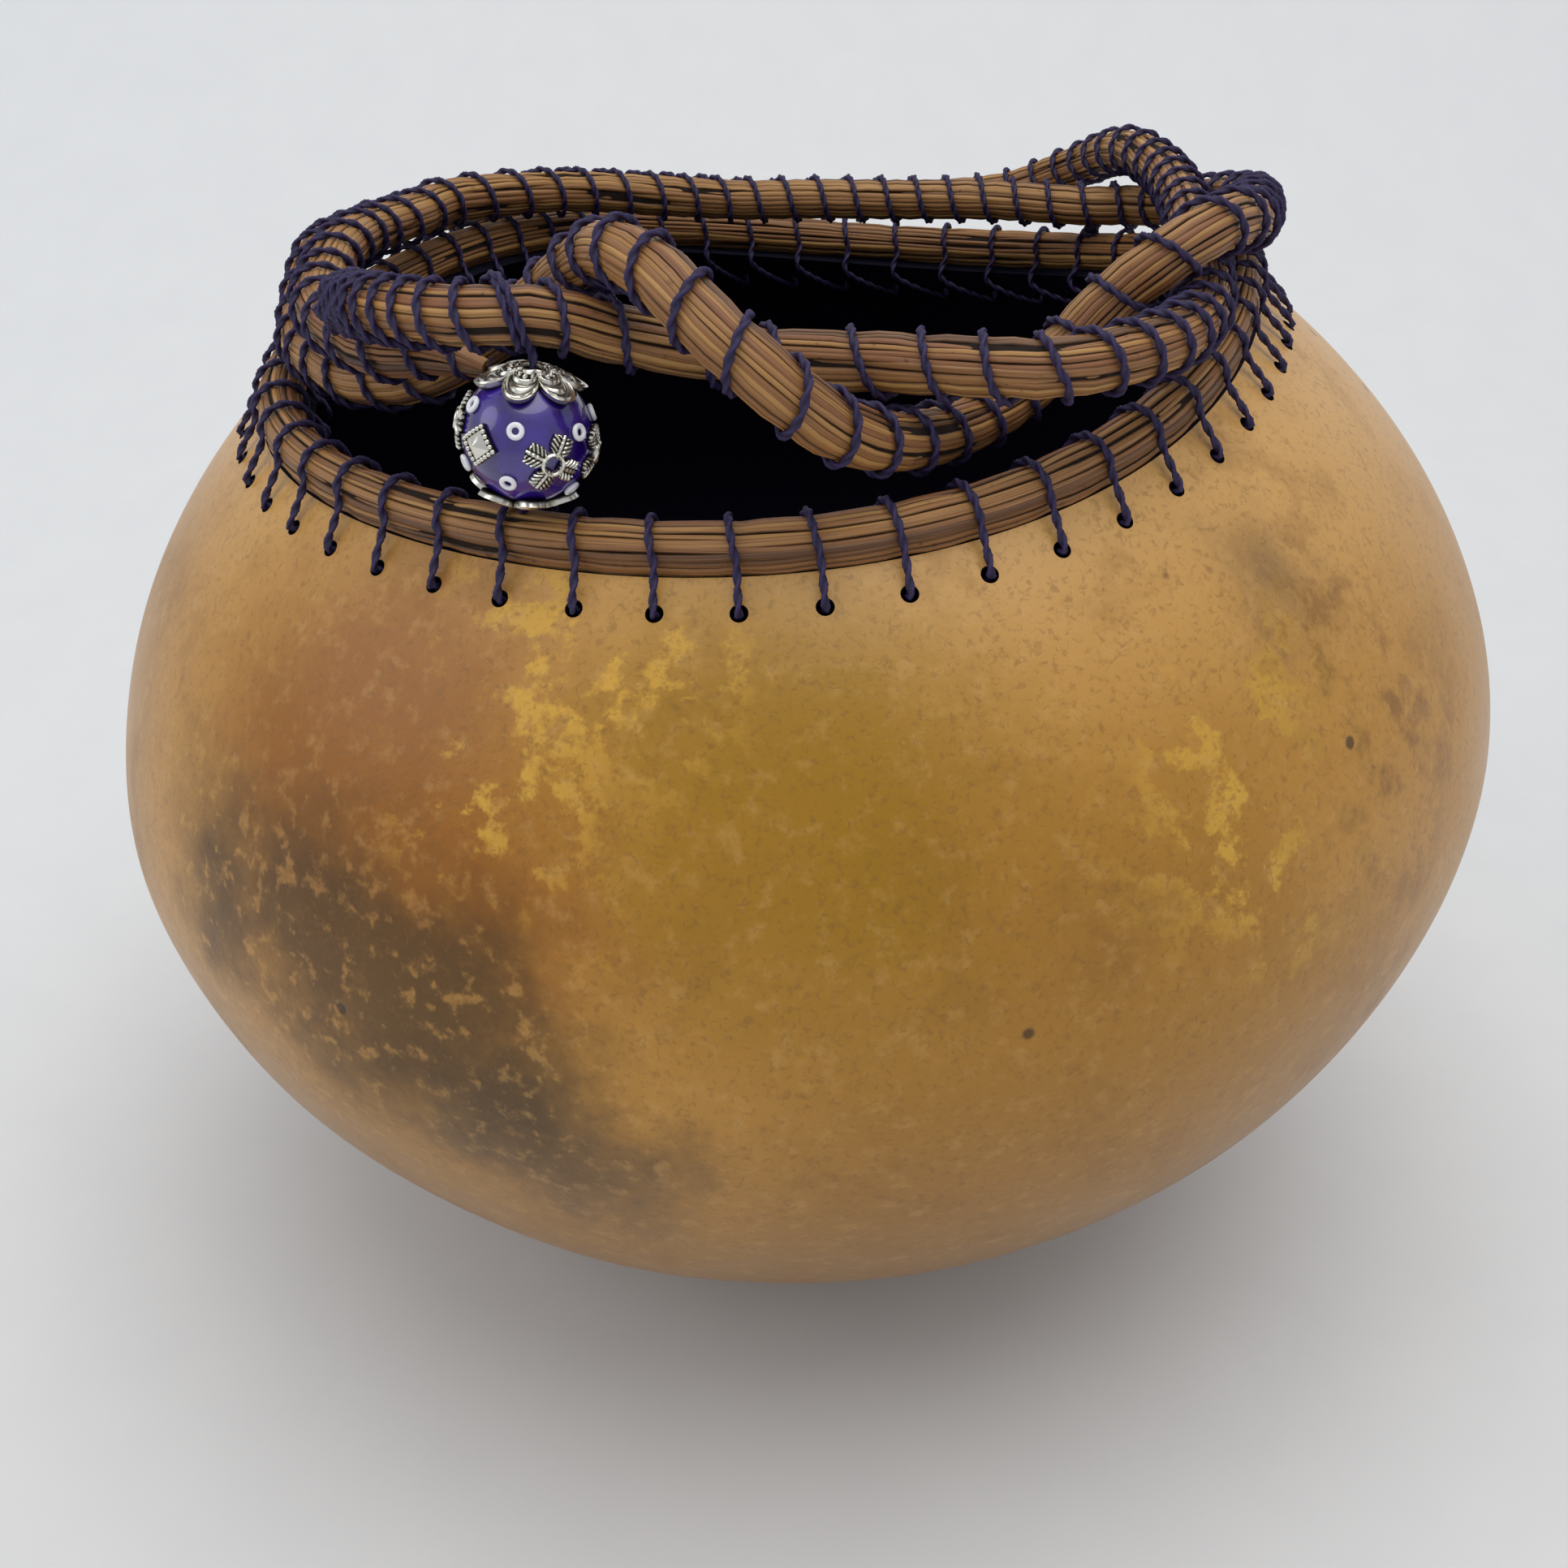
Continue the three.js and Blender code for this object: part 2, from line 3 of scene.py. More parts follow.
import bmesh
import bpy
import numpy as np
from mathutils import Matrix, Vector


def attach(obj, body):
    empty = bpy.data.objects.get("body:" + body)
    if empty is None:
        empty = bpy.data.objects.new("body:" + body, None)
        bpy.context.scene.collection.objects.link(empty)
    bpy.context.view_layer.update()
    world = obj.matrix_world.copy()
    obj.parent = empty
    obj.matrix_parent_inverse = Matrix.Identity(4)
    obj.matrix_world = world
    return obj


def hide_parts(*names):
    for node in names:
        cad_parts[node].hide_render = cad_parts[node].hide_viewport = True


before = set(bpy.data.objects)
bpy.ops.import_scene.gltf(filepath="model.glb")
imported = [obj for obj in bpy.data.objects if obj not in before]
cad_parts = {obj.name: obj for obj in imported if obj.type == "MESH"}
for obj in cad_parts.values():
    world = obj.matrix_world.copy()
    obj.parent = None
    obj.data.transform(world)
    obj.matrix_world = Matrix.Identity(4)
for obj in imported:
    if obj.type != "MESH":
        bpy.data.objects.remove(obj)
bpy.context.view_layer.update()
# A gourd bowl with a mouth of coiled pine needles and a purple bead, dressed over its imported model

scene = bpy.context.scene

# Camera
# It stands in front of the vessel and looks down on it, as the photographer did.
CAMERA_PLACE = Vector((-0.0035, -0.2454, 0.2093))
CAMERA_TARGET = Vector((-0.0035, 0.0, 0.0655))
VIEW_ANGLE = math.radians(48)
SENSOR_WIDTH = 36.0

camera_data = bpy.data.cameras.new("camera")
camera_data.sensor_width = SENSOR_WIDTH
camera_data.lens = SENSOR_WIDTH / 2 / math.tan(VIEW_ANGLE / 2)
camera = bpy.data.objects.new("camera", camera_data)
camera.location = CAMERA_PLACE
camera.rotation_euler = (CAMERA_TARGET - CAMERA_PLACE).to_track_quat("-Z", "Y").to_euler()
scene.collection.objects.link(camera)
scene.camera = camera


# Table and light
# A sheet of pale card that lies on the table and sweeps up well behind the vessel.
# A wide soft lamp is overhead, a window is at the left, and a pale room all round fills the shadows.
CARD_HALF_WIDTH = 1.6
CARD_FRONT = -1.4
CARD_BEND_START = 0.17
CARD_BEND_RADIUS = 0.35
CARD_HEIGHT = 1.2
CARD_BEND_STEPS = 24
LAMP_TARGET = Vector((0, 0, 0.08))
ROOM_COLOUR = (0.92, 0.95, 1.0, 1)
ROOM_STRENGTH = 0.55


class Value:
    """A socket of a node tree. A sum written on it adds the Math nodes that work it out."""

    def __init__(self, sheet, socket):
        self.sheet = sheet
        self.socket = socket

    def math(self, operation, *terms):
        return self.sheet.node("ShaderNodeMath", {"operation": operation}, terms)["Value"]

    def __add__(self, other):
        return self.math("ADD", self, other)

    def __radd__(self, other):
        return self.math("ADD", other, self)

    def __sub__(self, other):
        return self.math("SUBTRACT", self, other)

    def __rsub__(self, other):
        return self.math("SUBTRACT", other, self)

    def __mul__(self, other):
        return self.math("MULTIPLY", self, other)

    def __rmul__(self, other):
        return self.math("MULTIPLY", other, self)

    def __truediv__(self, other):
        return self.math("DIVIDE", self, other)

    def __rtruediv__(self, other):
        return self.math("DIVIDE", other, self)


class Made:
    """A node that is in place. Its outputs are read by name or number."""

    def __init__(self, sheet, node):
        self.sheet = sheet
        self.made = node

    def __getitem__(self, key):
        return Value(self.sheet, self.made.outputs[key])


class Sheet:
    """A node tree that is being filled in."""

    def __init__(self, tree):
        self.tree = tree

    def node(self, kind, settings=None, inputs=()):
        made = self.tree.nodes.new(kind)
        for name, value in (settings or {}).items():
            if name == "stops":
                self.set_stops(made.color_ramp, value)
            else:
                setattr(made, name, value)
        pairs = inputs.items() if isinstance(inputs, dict) else enumerate(inputs)
        for key, value in pairs:
            if isinstance(value, Value):
                self.tree.links.new(value.socket, made.inputs[key])
            else:
                made.inputs[key].default_value = value
        return Made(self, made)

    def set_stops(self, ramp, stops):
        while len(ramp.elements) < len(stops):
            ramp.elements.new(1.0)
        for element, (place, colour) in zip(ramp.elements, stops):
            element.position = place
            element.color = colour

    def mix(self, share, first, second):
        made = self.node("ShaderNodeMix", {"data_type": "RGBA"}, {"Factor": share, 6: first, 7: second})
        return made[2]

    def step(self, value, low, high):
        inputs = {"Value": value, "From Min": low, "From Max": high}
        return self.node("ShaderNodeMapRange", {"interpolation_type": "SMOOTHSTEP"}, inputs)["Result"]

    def noise(self, place, scale, detail=2.0, roughness=0.5, distortion=0.0):
        inputs = {"Vector": place, "Scale": scale, "Detail": detail, "Roughness": roughness,
                  "Distortion": distortion}
        return self.node("ShaderNodeTexNoise", None, inputs)

    def vector(self, operation, *terms):
        return self.node("ShaderNodeVectorMath", {"operation": operation}, terms)[0]

    def scaled(self, vector, share):
        return self.node("ShaderNodeVectorMath", {"operation": "SCALE"}, {0: vector, "Scale": share})[0]

    def attribute(self, name):
        return self.node("ShaderNodeAttribute", {"attribute_name": name})["Fac"]

    def bump(self, strength, distance, height):
        return self.node("ShaderNodeBump", None,
                         {"Strength": strength, "Distance": distance, "Height": height})["Normal"]


def paint(text):
    """A colour as the eye reads it, such as 'b08250', for a shader."""
    shares = [int(text[k:k + 2], 16) / 255 for k in (0, 2, 4)]
    return (*[s / 12.92 if s <= 0.04045 else ((s + 0.055) / 1.055) ** 2.4 for s in shares], 1.0)


def new_finish(name, **constants):
    """A material with its shader, as a Sheet, its Principled BSDF and the place on the object."""
    material = bpy.data.materials.new(name)
    material.use_nodes = True
    sheet = Sheet(material.node_tree)
    shader = material.node_tree.nodes["Principled BSDF"]
    for label, value in constants.items():
        shader.inputs[label.replace("_", " ")].default_value = value
    place = sheet.node("ShaderNodeTexCoord")["Object"]
    return material, sheet, shader, place


def feed(sheet, shader, **links):
    """Joins values to the shader's sockets, such as Base_Color=colour."""
    for label, value in links.items():
        sheet.tree.links.new(value.socket, shader.inputs[label.replace("_", " ")])


def new_object(name, vertices, faces, smooth_angle=None):
    mesh = bpy.data.meshes.new(name)
    mesh.from_pydata([tuple(v) for v in vertices], [], faces)
    made = bpy.data.objects.new(name, mesh)
    scene.collection.objects.link(made)
    if smooth_angle is not None:
        mesh.shade_smooth()
        mesh.set_sharp_from_angle(angle=smooth_angle)
    return made


def card_mesh():
    profile = [(CARD_FRONT, 0.0), (CARD_BEND_START, 0.0)]
    for k in range(1, CARD_BEND_STEPS + 1):
        angle = k / CARD_BEND_STEPS * math.pi / 2
        profile.append((CARD_BEND_START + CARD_BEND_RADIUS * math.sin(angle),
                        CARD_BEND_RADIUS * (1 - math.cos(angle))))
    profile.append((CARD_BEND_START + CARD_BEND_RADIUS, CARD_HEIGHT))
    vertices = [(side * CARD_HALF_WIDTH, y, z) for y, z in profile for side in (-1, 1)]
    faces = [(2 * k, 2 * k + 1, 2 * k + 3, 2 * k + 2) for k in range(len(profile) - 1)]
    return new_object("table_card", vertices, faces, math.radians(30))


def card_finish():
    material, sheet, shader, place = new_finish("pale_card", Roughness=0.75)
    grain = sheet.noise(place, 60.0, 4.0)["Fac"]
    feed(sheet, shader, Base_Color=sheet.mix(grain, paint("e4e5e6"), paint("eaebeb")))
    return material


card = card_mesh()
card.data.materials.append(card_finish())


def add_lamp(name, place, width, power, colour):
    """A round soft lamp that points at the middle of the vessel."""
    lamp = bpy.data.lights.new(name, "AREA")
    lamp.shape = "DISK"
    lamp.size = width
    lamp.energy = power
    lamp.color = colour
    made = bpy.data.objects.new(name, lamp)
    made.location = place
    made.rotation_euler = (LAMP_TARGET - Vector(place)).to_track_quat("-Z", "Y").to_euler()
    scene.collection.objects.link(made)


add_lamp("overhead_lamp", (0.1, -0.16, 1.15), width=1.1, power=5.6, colour=(1.0, 0.985, 0.96))
add_lamp("left_window", (-0.95, -0.25, 0.65), width=0.7, power=1.6, colour=(0.95, 0.98, 1.0))
world = bpy.data.worlds.new("pale_room")
world.use_nodes = True
backdrop = world.node_tree.nodes["Background"]
backdrop.inputs["Color"].default_value = ROOM_COLOUR
backdrop.inputs["Strength"].default_value = ROOM_STRENGTH
scene.world = world
scene.view_settings.view_transform = "Standard"


# Gourd shell
# One dried gourd, cut open across its shoulder and scraped out, with a waxed skin and a painted inside.
# It leans a little to the left and stands on a small flat spot. Its holes are drilled square to the wall.
FLAT_SPOT = Vector((-0.0057, 0.0, 0.0012))
GOURD_RADIUS = 0.1
GOURD_FULL_HEIGHT = 0.1656
WIDEST_HEIGHT = 0.0851
LOWER_FULLNESS = 1.84
UPPER_FULLNESS = 1.9
LEAN = math.radians(4.64)
SWAY = -0.0007
BOW = 0.0013
WALL = 0.005
MOUTH_HEIGHT = 0.1411
MOUTH_TILT_X = -0.002
MOUTH_TILT_Y = -0.0007
MOUTH_SADDLE = 0.0033
MOUTH_TWIST = -0.0036
MOUTH_TRIPLE = 0.0019
RIM_COIL_RADIUS = 0.0029
RIM_SEAT_GAP = 0.00035
STITCHES = 54
FIRST_STITCH = 0.15
HOLE_DROP = 0.005
HOLE_RADIUS = 0.00102
HOLE_SIDES = 16
DRILL_SPARE = 0.002
SLOPE_STEP = 0.0005
SKIN_LIP_RISE = 0.0011
OUTER_ROWS = 150
INNER_ROWS = 70
GOURD_SEGMENTS = 288
SKIN_SWELL = 0.00035


def wall_radius(z, inset=0.0):
    below = z < WIDEST_HEIGHT
    reach = np.where(below, WIDEST_HEIGHT, GOURD_FULL_HEIGHT - WIDEST_HEIGHT) - inset
    share = np.minimum(np.abs(z - WIDEST_HEIGHT) / reach, 1)
    fullness = np.where(below, LOWER_FULLNESS, UPPER_FULLNESS)
    return (GOURD_RADIUS - inset) * (1 - share ** fullness) ** (1 / fullness)


def on_gourd(radius, angle, z):
    """Points at these radii, angles and heights on the gourd's own axis, in the part's frame."""
    reach = np.where(z < WIDEST_HEIGHT, WIDEST_HEIGHT, GOURD_FULL_HEIGHT - WIDEST_HEIGHT)
    share = (z - WIDEST_HEIGHT) / reach
    x = radius * np.cos(angle) + SWAY * share + BOW * share ** 2
    y = radius * np.sin(angle)
    leant = [x * math.cos(LEAN) - z * math.sin(LEAN), y, x * math.sin(LEAN) + z * math.cos(LEAN)]
    return np.stack(np.broadcast_arrays(*leant), axis=-1) - np.array(FLAT_SPOT)


def rim_height(angle):
    return (MOUTH_HEIGHT + MOUTH_TILT_X * np.cos(angle) + MOUTH_TILT_Y * np.sin(angle)
            + MOUTH_SADDLE * np.cos(2 * angle) + MOUTH_TWIST * np.sin(2 * angle)
            + MOUTH_TRIPLE * np.cos(3 * angle))


def cut_height(angle):
    return rim_height(angle) - RIM_COIL_RADIUS - RIM_SEAT_GAP


def skin_swell(angle, z):
    """The gentle hollows and swellings of a grown skin, which die out towards the mouth."""
    height = z / GOURD_FULL_HEIGHT
    waves = (np.sin(2 * angle + 0.7 + 2 * height) + 0.7 * np.sin(3 * angle - 1.1 - 5 * height)
             + 0.35 * np.sin(7 * angle + 9 * height) + 0.3 * np.sin(11 * angle - 14 * height + 1))
    fade = np.clip((MOUTH_HEIGHT - 0.012 - z) / 0.03, 0, 1) * np.clip(z / 0.02, 0, 1)
    return SKIN_SWELL * waves * fade


def stitch_angle(k):
    return (k + FIRST_STITCH) / STITCHES * 2 * math.pi


def hole_axis(angle):
    """The middle of a hole on the skin, and the way out of it."""
    z = rim_height(angle) - HOLE_DROP
    slope = (wall_radius(z + SLOPE_STEP) - wall_radius(z - SLOPE_STEP)) / (2 * SLOPE_STEP)
    out = np.array([1.0, -slope]) / np.hypot(1.0, slope)
    middle = on_gourd(wall_radius(z), angle, z)
    beyond = on_gourd(wall_radius(z) + out[0] * WALL, angle, z + out[1] * WALL)
    return Vector(middle), (Vector(beyond) - Vector(middle)).normalized()


def ring_faces(rings, wide, closed=False, start=0):
    """Faces between rings of points. Closed joins the last ring to the first."""
    faces = []
    for row in range(rings if closed else rings - 1):
        low, high = start + row * wide, start + (row + 1) % rings * wide
        faces += [(low + k, low + (k + 1) % wide, high + (k + 1) % wide, high + k) for k in range(wide)]
    return faces


def gourd_mesh():
    angles = np.arange(GOURD_SEGMENTS) / GOURD_SEGMENTS * 2 * np.pi
    tops = cut_height(angles)
    rings = []
    rows = [(0.0, k / OUTER_ROWS) for k in range(1, OUTER_ROWS + 1)]
    rows += [(WALL, 1 - k / INNER_ROWS) for k in range(INNER_ROWS)]
    for inset, share in rows:
        lip = tops if inset else tops + SKIN_LIP_RISE
        z = inset + (lip - inset) * (1 - math.cos(math.pi * share)) / 2
        radius = wall_radius(z, inset) + (skin_swell(angles, z) if inset == 0 else 0)
        ring = on_gourd(radius, angles, z)
        ring[:, 2] = np.maximum(ring[:, 2], 0) if inset == 0 else ring[:, 2]
        rings.append(ring)
    bottom = on_gourd(0.0, 0.0, np.array(0.0))
    bottom[2] = max(bottom[2], 0)
    vertices = [bottom, *np.concatenate(rings), on_gourd(0.0, 0.0, np.array(WALL))]
    wide = GOURD_SEGMENTS
    last = len(vertices) - 1
    faces = [(0, 1 + (k + 1) % wide, 1 + k) for k in range(wide)]
    faces += ring_faces(len(rings), wide, start=1)
    low = 1 + (len(rings) - 1) * wide
    faces += [(low + k, low + (k + 1) % wide, last) for k in range(wide)]
    shell = new_object("gourd_skin", vertices, faces)
    inner = np.arange(len(faces)) >= wide * OUTER_ROWS
    shell.data.polygons.foreach_set("material_index", inner.astype(np.int32))
    return shell


def turn_faces_out(mesh):
    fixed = bmesh.new()
    fixed.from_mesh(mesh)
    bmesh.ops.recalc_face_normals(fixed, faces=fixed.faces)
    fixed.to_mesh(mesh)
    fixed.free()


def drill_mesh():
    """All the drills as one mesh, each a rod through the wall."""
    vertices, faces = [], []
    for k in range(STITCHES):
        middle, out = hole_axis(stitch_angle(k))
        side = out.cross(Vector((0, 0, 1))).normalized()
        up = side.cross(out)
        base = len(vertices)
        for along in (-WALL - DRILL_SPARE, DRILL_SPARE):
            for corner in range(HOLE_SIDES):
                turn = corner / HOLE_SIDES * 2 * math.pi
                spoke = side * math.cos(turn) + up * math.sin(turn)
                vertices.append(middle + out * along + spoke * HOLE_RADIUS)
        ring = range(base, base + HOLE_SIDES)
        faces += ring_faces(2, HOLE_SIDES, start=base)
        faces += [tuple(reversed(ring)), tuple(corner + HOLE_SIDES for corner in ring)]
    drills = new_object("drills", vertices, faces)
    turn_faces_out(drills.data)
    return drills


def settle(made):
    """Turns an object and its modifiers into plain mesh."""
    graph = bpy.context.evaluated_depsgraph_get()
    mesh = bpy.data.meshes.new_from_object(made.evaluated_get(graph), preserve_all_data_layers=True,
                                           depsgraph=graph)
    made.modifiers.clear()
    made.data = mesh
    mesh.name = made.name
    return made


# Where the gourd's colour changes: middles on the skin, in the part's frame, and how far each spreads
OLIVE_GLOW = [((-0.001, -0.088, 0.119), 0.019), ((0.002, -0.094, 0.109), 0.014)]
YELLOW_ISLANDS = [((-0.025, -0.079, 0.126), 0.017), ((-0.033, -0.086, 0.113), 0.014),
                  ((0.05, -0.079, 0.108), 0.02)]
RUST_PATCH = [((-0.05, -0.077, 0.113), 0.022), ((-0.04, -0.087, 0.105), 0.016)]
SMUDGE = [((-0.07, -0.071, 0.096), 0.01), ((-0.056, -0.082, 0.094), 0.014),
          ((-0.045, -0.089, 0.086), 0.016), ((-0.033, -0.094, 0.079), 0.013)]
BROWN_MOTTLE = [((0.058, -0.064, 0.121), 0.016), ((0.066, -0.066, 0.108), 0.018), ((0.052, 0.07, 0.1), 0.03),
                ((-0.06, 0.06, 0.07), 0.03)]
GREY_SMUDGE = [((0.051, -0.065, 0.128), 0.006), ((0.0, 0.095, 0.08), 0.02), ((-0.03, -0.096, 0.071), 0.014)]


def gourd_finish():
    material, sheet, shader, place = new_finish(
        "gourd_skin", Coat_Weight=0.14, Coat_Roughness=0.32, Specular_IOR_Level=0.3)
    drift = sheet.vector("SUBTRACT", sheet.noise(place, 42.0, 5.0, 0.6)["Color"], (0.5, 0.5, 0.5))
    moved = sheet.vector("ADD", place, sheet.scaled(drift, 0.03))
    broad = sheet.noise(moved, 13.0, 3.0)["Fac"]
    cloudy = sheet.noise(moved, 55.0, 5.0, 0.62)["Fac"]
    frayed = sheet.noise(place, 150.0, 6.0, 0.65)["Fac"]
    speckle = sheet.noise(place, 420.0, 3.0, 0.6)["Fac"]
    grain = sheet.noise(place, 1100.0, 3.0, 0.65, 0.6)["Fac"]
    height = sheet.node("ShaderNodeSeparateXYZ", None, [place])["Z"]

    def patch(spots, fade, fray):
        """How much of a patch shows: spots joined, with a frayed edge."""
        total = None
        for centre, radius in spots:
            away = sheet.node("ShaderNodeVectorMath", {"operation": "DISTANCE"}, [moved, centre])["Value"]
            here = sheet.step(away + (frayed - 0.5) * fray, radius + fade, radius - fade)
            total = here if total is None else here.math("MAXIMUM", here, total)
        return total

    islands = sheet.step(frayed + (cloudy - 0.5) * 0.5, 0.5, 0.6) * patch(YELLOW_ISLANDS, 0.008, 0.02)
    mottle = sheet.step(frayed, 0.46, 0.62) * patch(BROWN_MOTTLE, 0.014, 0.02)
    smudge = patch(SMUDGE, 0.01, 0.016)
    light_flecks = sheet.step(speckle, 0.55, 0.68)
    cell = sheet.node("ShaderNodeTexVoronoi", None, {"Vector": place, "Scale": 130.0})
    rare = sheet.node("ShaderNodeSeparateColor", None, [cell["Color"]])["Red"]
    dot = sheet.step(cell["Distance"], 0.13, 0.07) * sheet.step(rare, 0.9, 0.91)
    colour = sheet.mix(sheet.step(broad, 0.38, 0.62), paint("bd8838"), paint("ab7826"))
    layers = [
        # painted highlight: the skin is painted lighter towards the shoulder, where the overhead light falls
        # on it
        (sheet.step(height, 0.112, 0.143) * 0.8, "dcab68"),
        # painted shade: the skin is painted darker towards the bottom, where it turns away from the light
        (sheet.step(height, 0.09, 0.03) * 0.75, "87602f"),
        (sheet.step(cloudy, 0.5, 0.72) * 0.45, "8a5c20"),
        (patch(RUST_PATCH, 0.014, 0.01) * 0.8, "925510"),
        (patch(OLIVE_GLOW, 0.015, 0.008) * 0.8, "9c7204"),
        (islands * 0.8, "dba940"),
        (mottle * 0.6, "75491a"),
        (patch(GREY_SMUDGE, 0.008, 0.02) * 0.5, "5a4a38"),
        (smudge * (0.82 - light_flecks * 0.45), "4a3312"),
        (sheet.step(speckle, 0.5, 0.75) * 0.28, "d2a461"),
        (sheet.step(grain, 0.5, 0.3) * 0.4, "7d5629"),
        (dot * 0.75, "2c1d10"),
    ]
    for share, shade in layers:
        colour = sheet.mix(share, colour, paint(shade))
    roughness = 0.36 + (cloudy - 0.5) * 0.25 + smudge * 0.08
    relief = sheet.bump(0.35, 0.0003, grain * 0.5 + speckle * 0.6 + dot * -0.8)
    feed(sheet, shader, Base_Color=colour, Roughness=roughness, Normal=relief)
    return material


def inside_finish():
    material, sheet, shader, place = new_finish("inside_paint", Specular_IOR_Level=0.25)
    cloudy = sheet.noise(place, 60.0, 5.0, 0.6)["Fac"]
    colour = sheet.mix(cloudy, paint("060617"), paint("0c0c26"))
    relief = sheet.bump(0.4, 0.0004, sheet.noise(place, 500.0, 3.0)["Fac"])
    feed(sheet, shader, Base_Color=colour, Roughness=0.75 + cloudy * 0.2, Normal=relief)
    return material


gourd = gourd_mesh()
drills = drill_mesh()
drilling = gourd.modifiers.new("drilling", "BOOLEAN")
drilling.operation = "DIFFERENCE"
drilling.solver = "MANIFOLD"
drilling.object = drills
for slot in range(2):
    drills.data.materials.append(None)
for face in drills.data.polygons:
    face.material_index = 1
gourd.data.materials.append(gourd_finish())
gourd.data.materials.append(inside_finish())
settle(gourd)
bpy.data.objects.remove(drills)
gourd.data.shade_smooth()
gourd.data.set_sharp_from_angle(angle=math.radians(35))
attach(gourd, "root")
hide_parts("gourd_shell")


# Rim coil
# A bundle of long pine needles laid on the cut edge all the way round, and held by the lacing.
# Each needle is a flat brown blade. Where one ends, the next is pushed in beside it.
RIM_BUNDLE_RADIUS = 0.00305
RIM_PINCH = 0.00022
RIM_POINTS = 720
NEEDLES_ROUND = 25
NEEDLE_WIDTH = 0.0009
NEEDLE_THICKNESS = 0.00062
NEEDLE_LENGTH = 0.19
NEEDLE_STEP = 0.0024
NEEDLE_TIP = 0.012
NEEDLE_TIP_SINK = 0.0003
NEEDLE_DRIFT = 2.2
NEEDLE_LIFT = 0.0005
DIP_WIDTH = 0.0013
CORE_SHARE = 0.87
PATH_STEP = 0.001


def keep_numbers(mesh, label, values):
    kept = mesh.attributes.new(label, "FLOAT", "POINT")
    kept.data.foreach_set("value", np.asarray(values, np.float32))


def path_object(name, points, closed=False, **numbers):
    """A line of points that a Geometry Nodes tree follows, with numbers kept at each point."""
    mesh = bpy.data.meshes.new(name)
    count = len(points)
    edges = [(k, k + 1) for k in range(count - 1)] + ([(count - 1, 0)] if closed else [])
    mesh.from_pydata([tuple(p) for p in points], edges, [])
    for label, values in numbers.items():
        keep_numbers(mesh, label, values)
    made = bpy.data.objects.new(name, mesh)
    scene.collection.objects.link(made)
    return made


def geometry_sheet(name, inputs):
    """A Geometry Nodes tree with named inputs, as a Sheet and its input node."""
    tree = bpy.data.node_groups.new(name, "GeometryNodeTree")
    tree.interface.new_socket("Geometry", in_out="OUTPUT", socket_type="NodeSocketGeometry")
    tree.interface.new_socket("Geometry", in_out="INPUT", socket_type="NodeSocketGeometry")
    for label, kind in inputs.items():
        tree.interface.new_socket(label, in_out="INPUT", socket_type="NodeSocket" + kind)
    sheet = Sheet(tree)
    return sheet, sheet.node("NodeGroupInput")


def close_sheet(sheet, geometry, material):
    """Ends a tree: real geometry, with its material."""
    real = sheet.node("GeometryNodeRealizeInstances", None, [geometry])[0]
    dressed = sheet.node("GeometryNodeSetMaterial", None, {"Geometry": real, "Material": material})[0]
    sheet.node("NodeGroupOutput", {"is_active_output": True}, [dressed])


def grow(made, sheet, **values):
    """Runs a tree on an object with these inputs, and keeps the plain mesh that comes out."""
    modifier = made.modifiers.new("grow", "NODES")
    modifier.node_group = sheet.tree
    for item in sheet.tree.interface.items_tree:
        label = item.name.replace(" ", "_")
        if item.in_out == "INPUT" and label in values:
            modifier[item.identifier] = values[label]
    return settle(made)


def stored(sheet, geometry, name, value, kind="FLOAT"):
    inputs = {"Geometry": geometry, "Name": name, "Value": value}
    return sheet.node("GeometryNodeStoreNamedAttribute", {"data_type": kind}, inputs)[0]


def named(sheet, name, kind="FLOAT"):
    return sheet.node("GeometryNodeInputNamedAttribute", {"data_type": kind}, {"Name": name})["Attribute"]


def side_to_side(sheet):
    """How far each corner of a section is to the side of its middle."""
    return sheet.node("ShaderNodeSeparateXYZ", None, [sheet.node("GeometryNodeInputPosition")[0]])["Y"]


def even_line(sheet, line, step):
    return sheet.node("GeometryNodeResampleCurve", {"mode": "LENGTH"}, {"Curve": line, "Length": step})[0]


def with_spokes(sheet, line):
    """Keeps at each point of a path the way it goes and one way out of it."""
    line = stored(sheet, line, "spoke", sheet.node("GeometryNodeInputNormal")["Normal"], "FLOAT_VECTOR")
    return stored(sheet, line, "forward", sheet.node("GeometryNodeInputTangent")["Tangent"], "FLOAT_VECTOR")


def way_out(sheet, turn, reach):
    """The way from a path to a place round it."""
    spoke = named(sheet, "spoke", "FLOAT_VECTOR")
    square_on = sheet.vector("CROSS_PRODUCT", named(sheet, "forward", "FLOAT_VECTOR"), spoke)
    return sheet.vector("ADD", sheet.scaled(spoke, turn.math("COSINE", turn) * reach),
                        sheet.scaled(square_on, turn.math("SINE", turn) * reach))


def chance(sheet, dimensions, *seeds):
    """A number from 0 to 1 that goes with these seeds."""
    place = sheet.node("ShaderNodeCombineXYZ", None, seeds)[0]
    return sheet.node("ShaderNodeTexWhiteNoise", {"noise_dimensions": dimensions}, [place])["Value"]


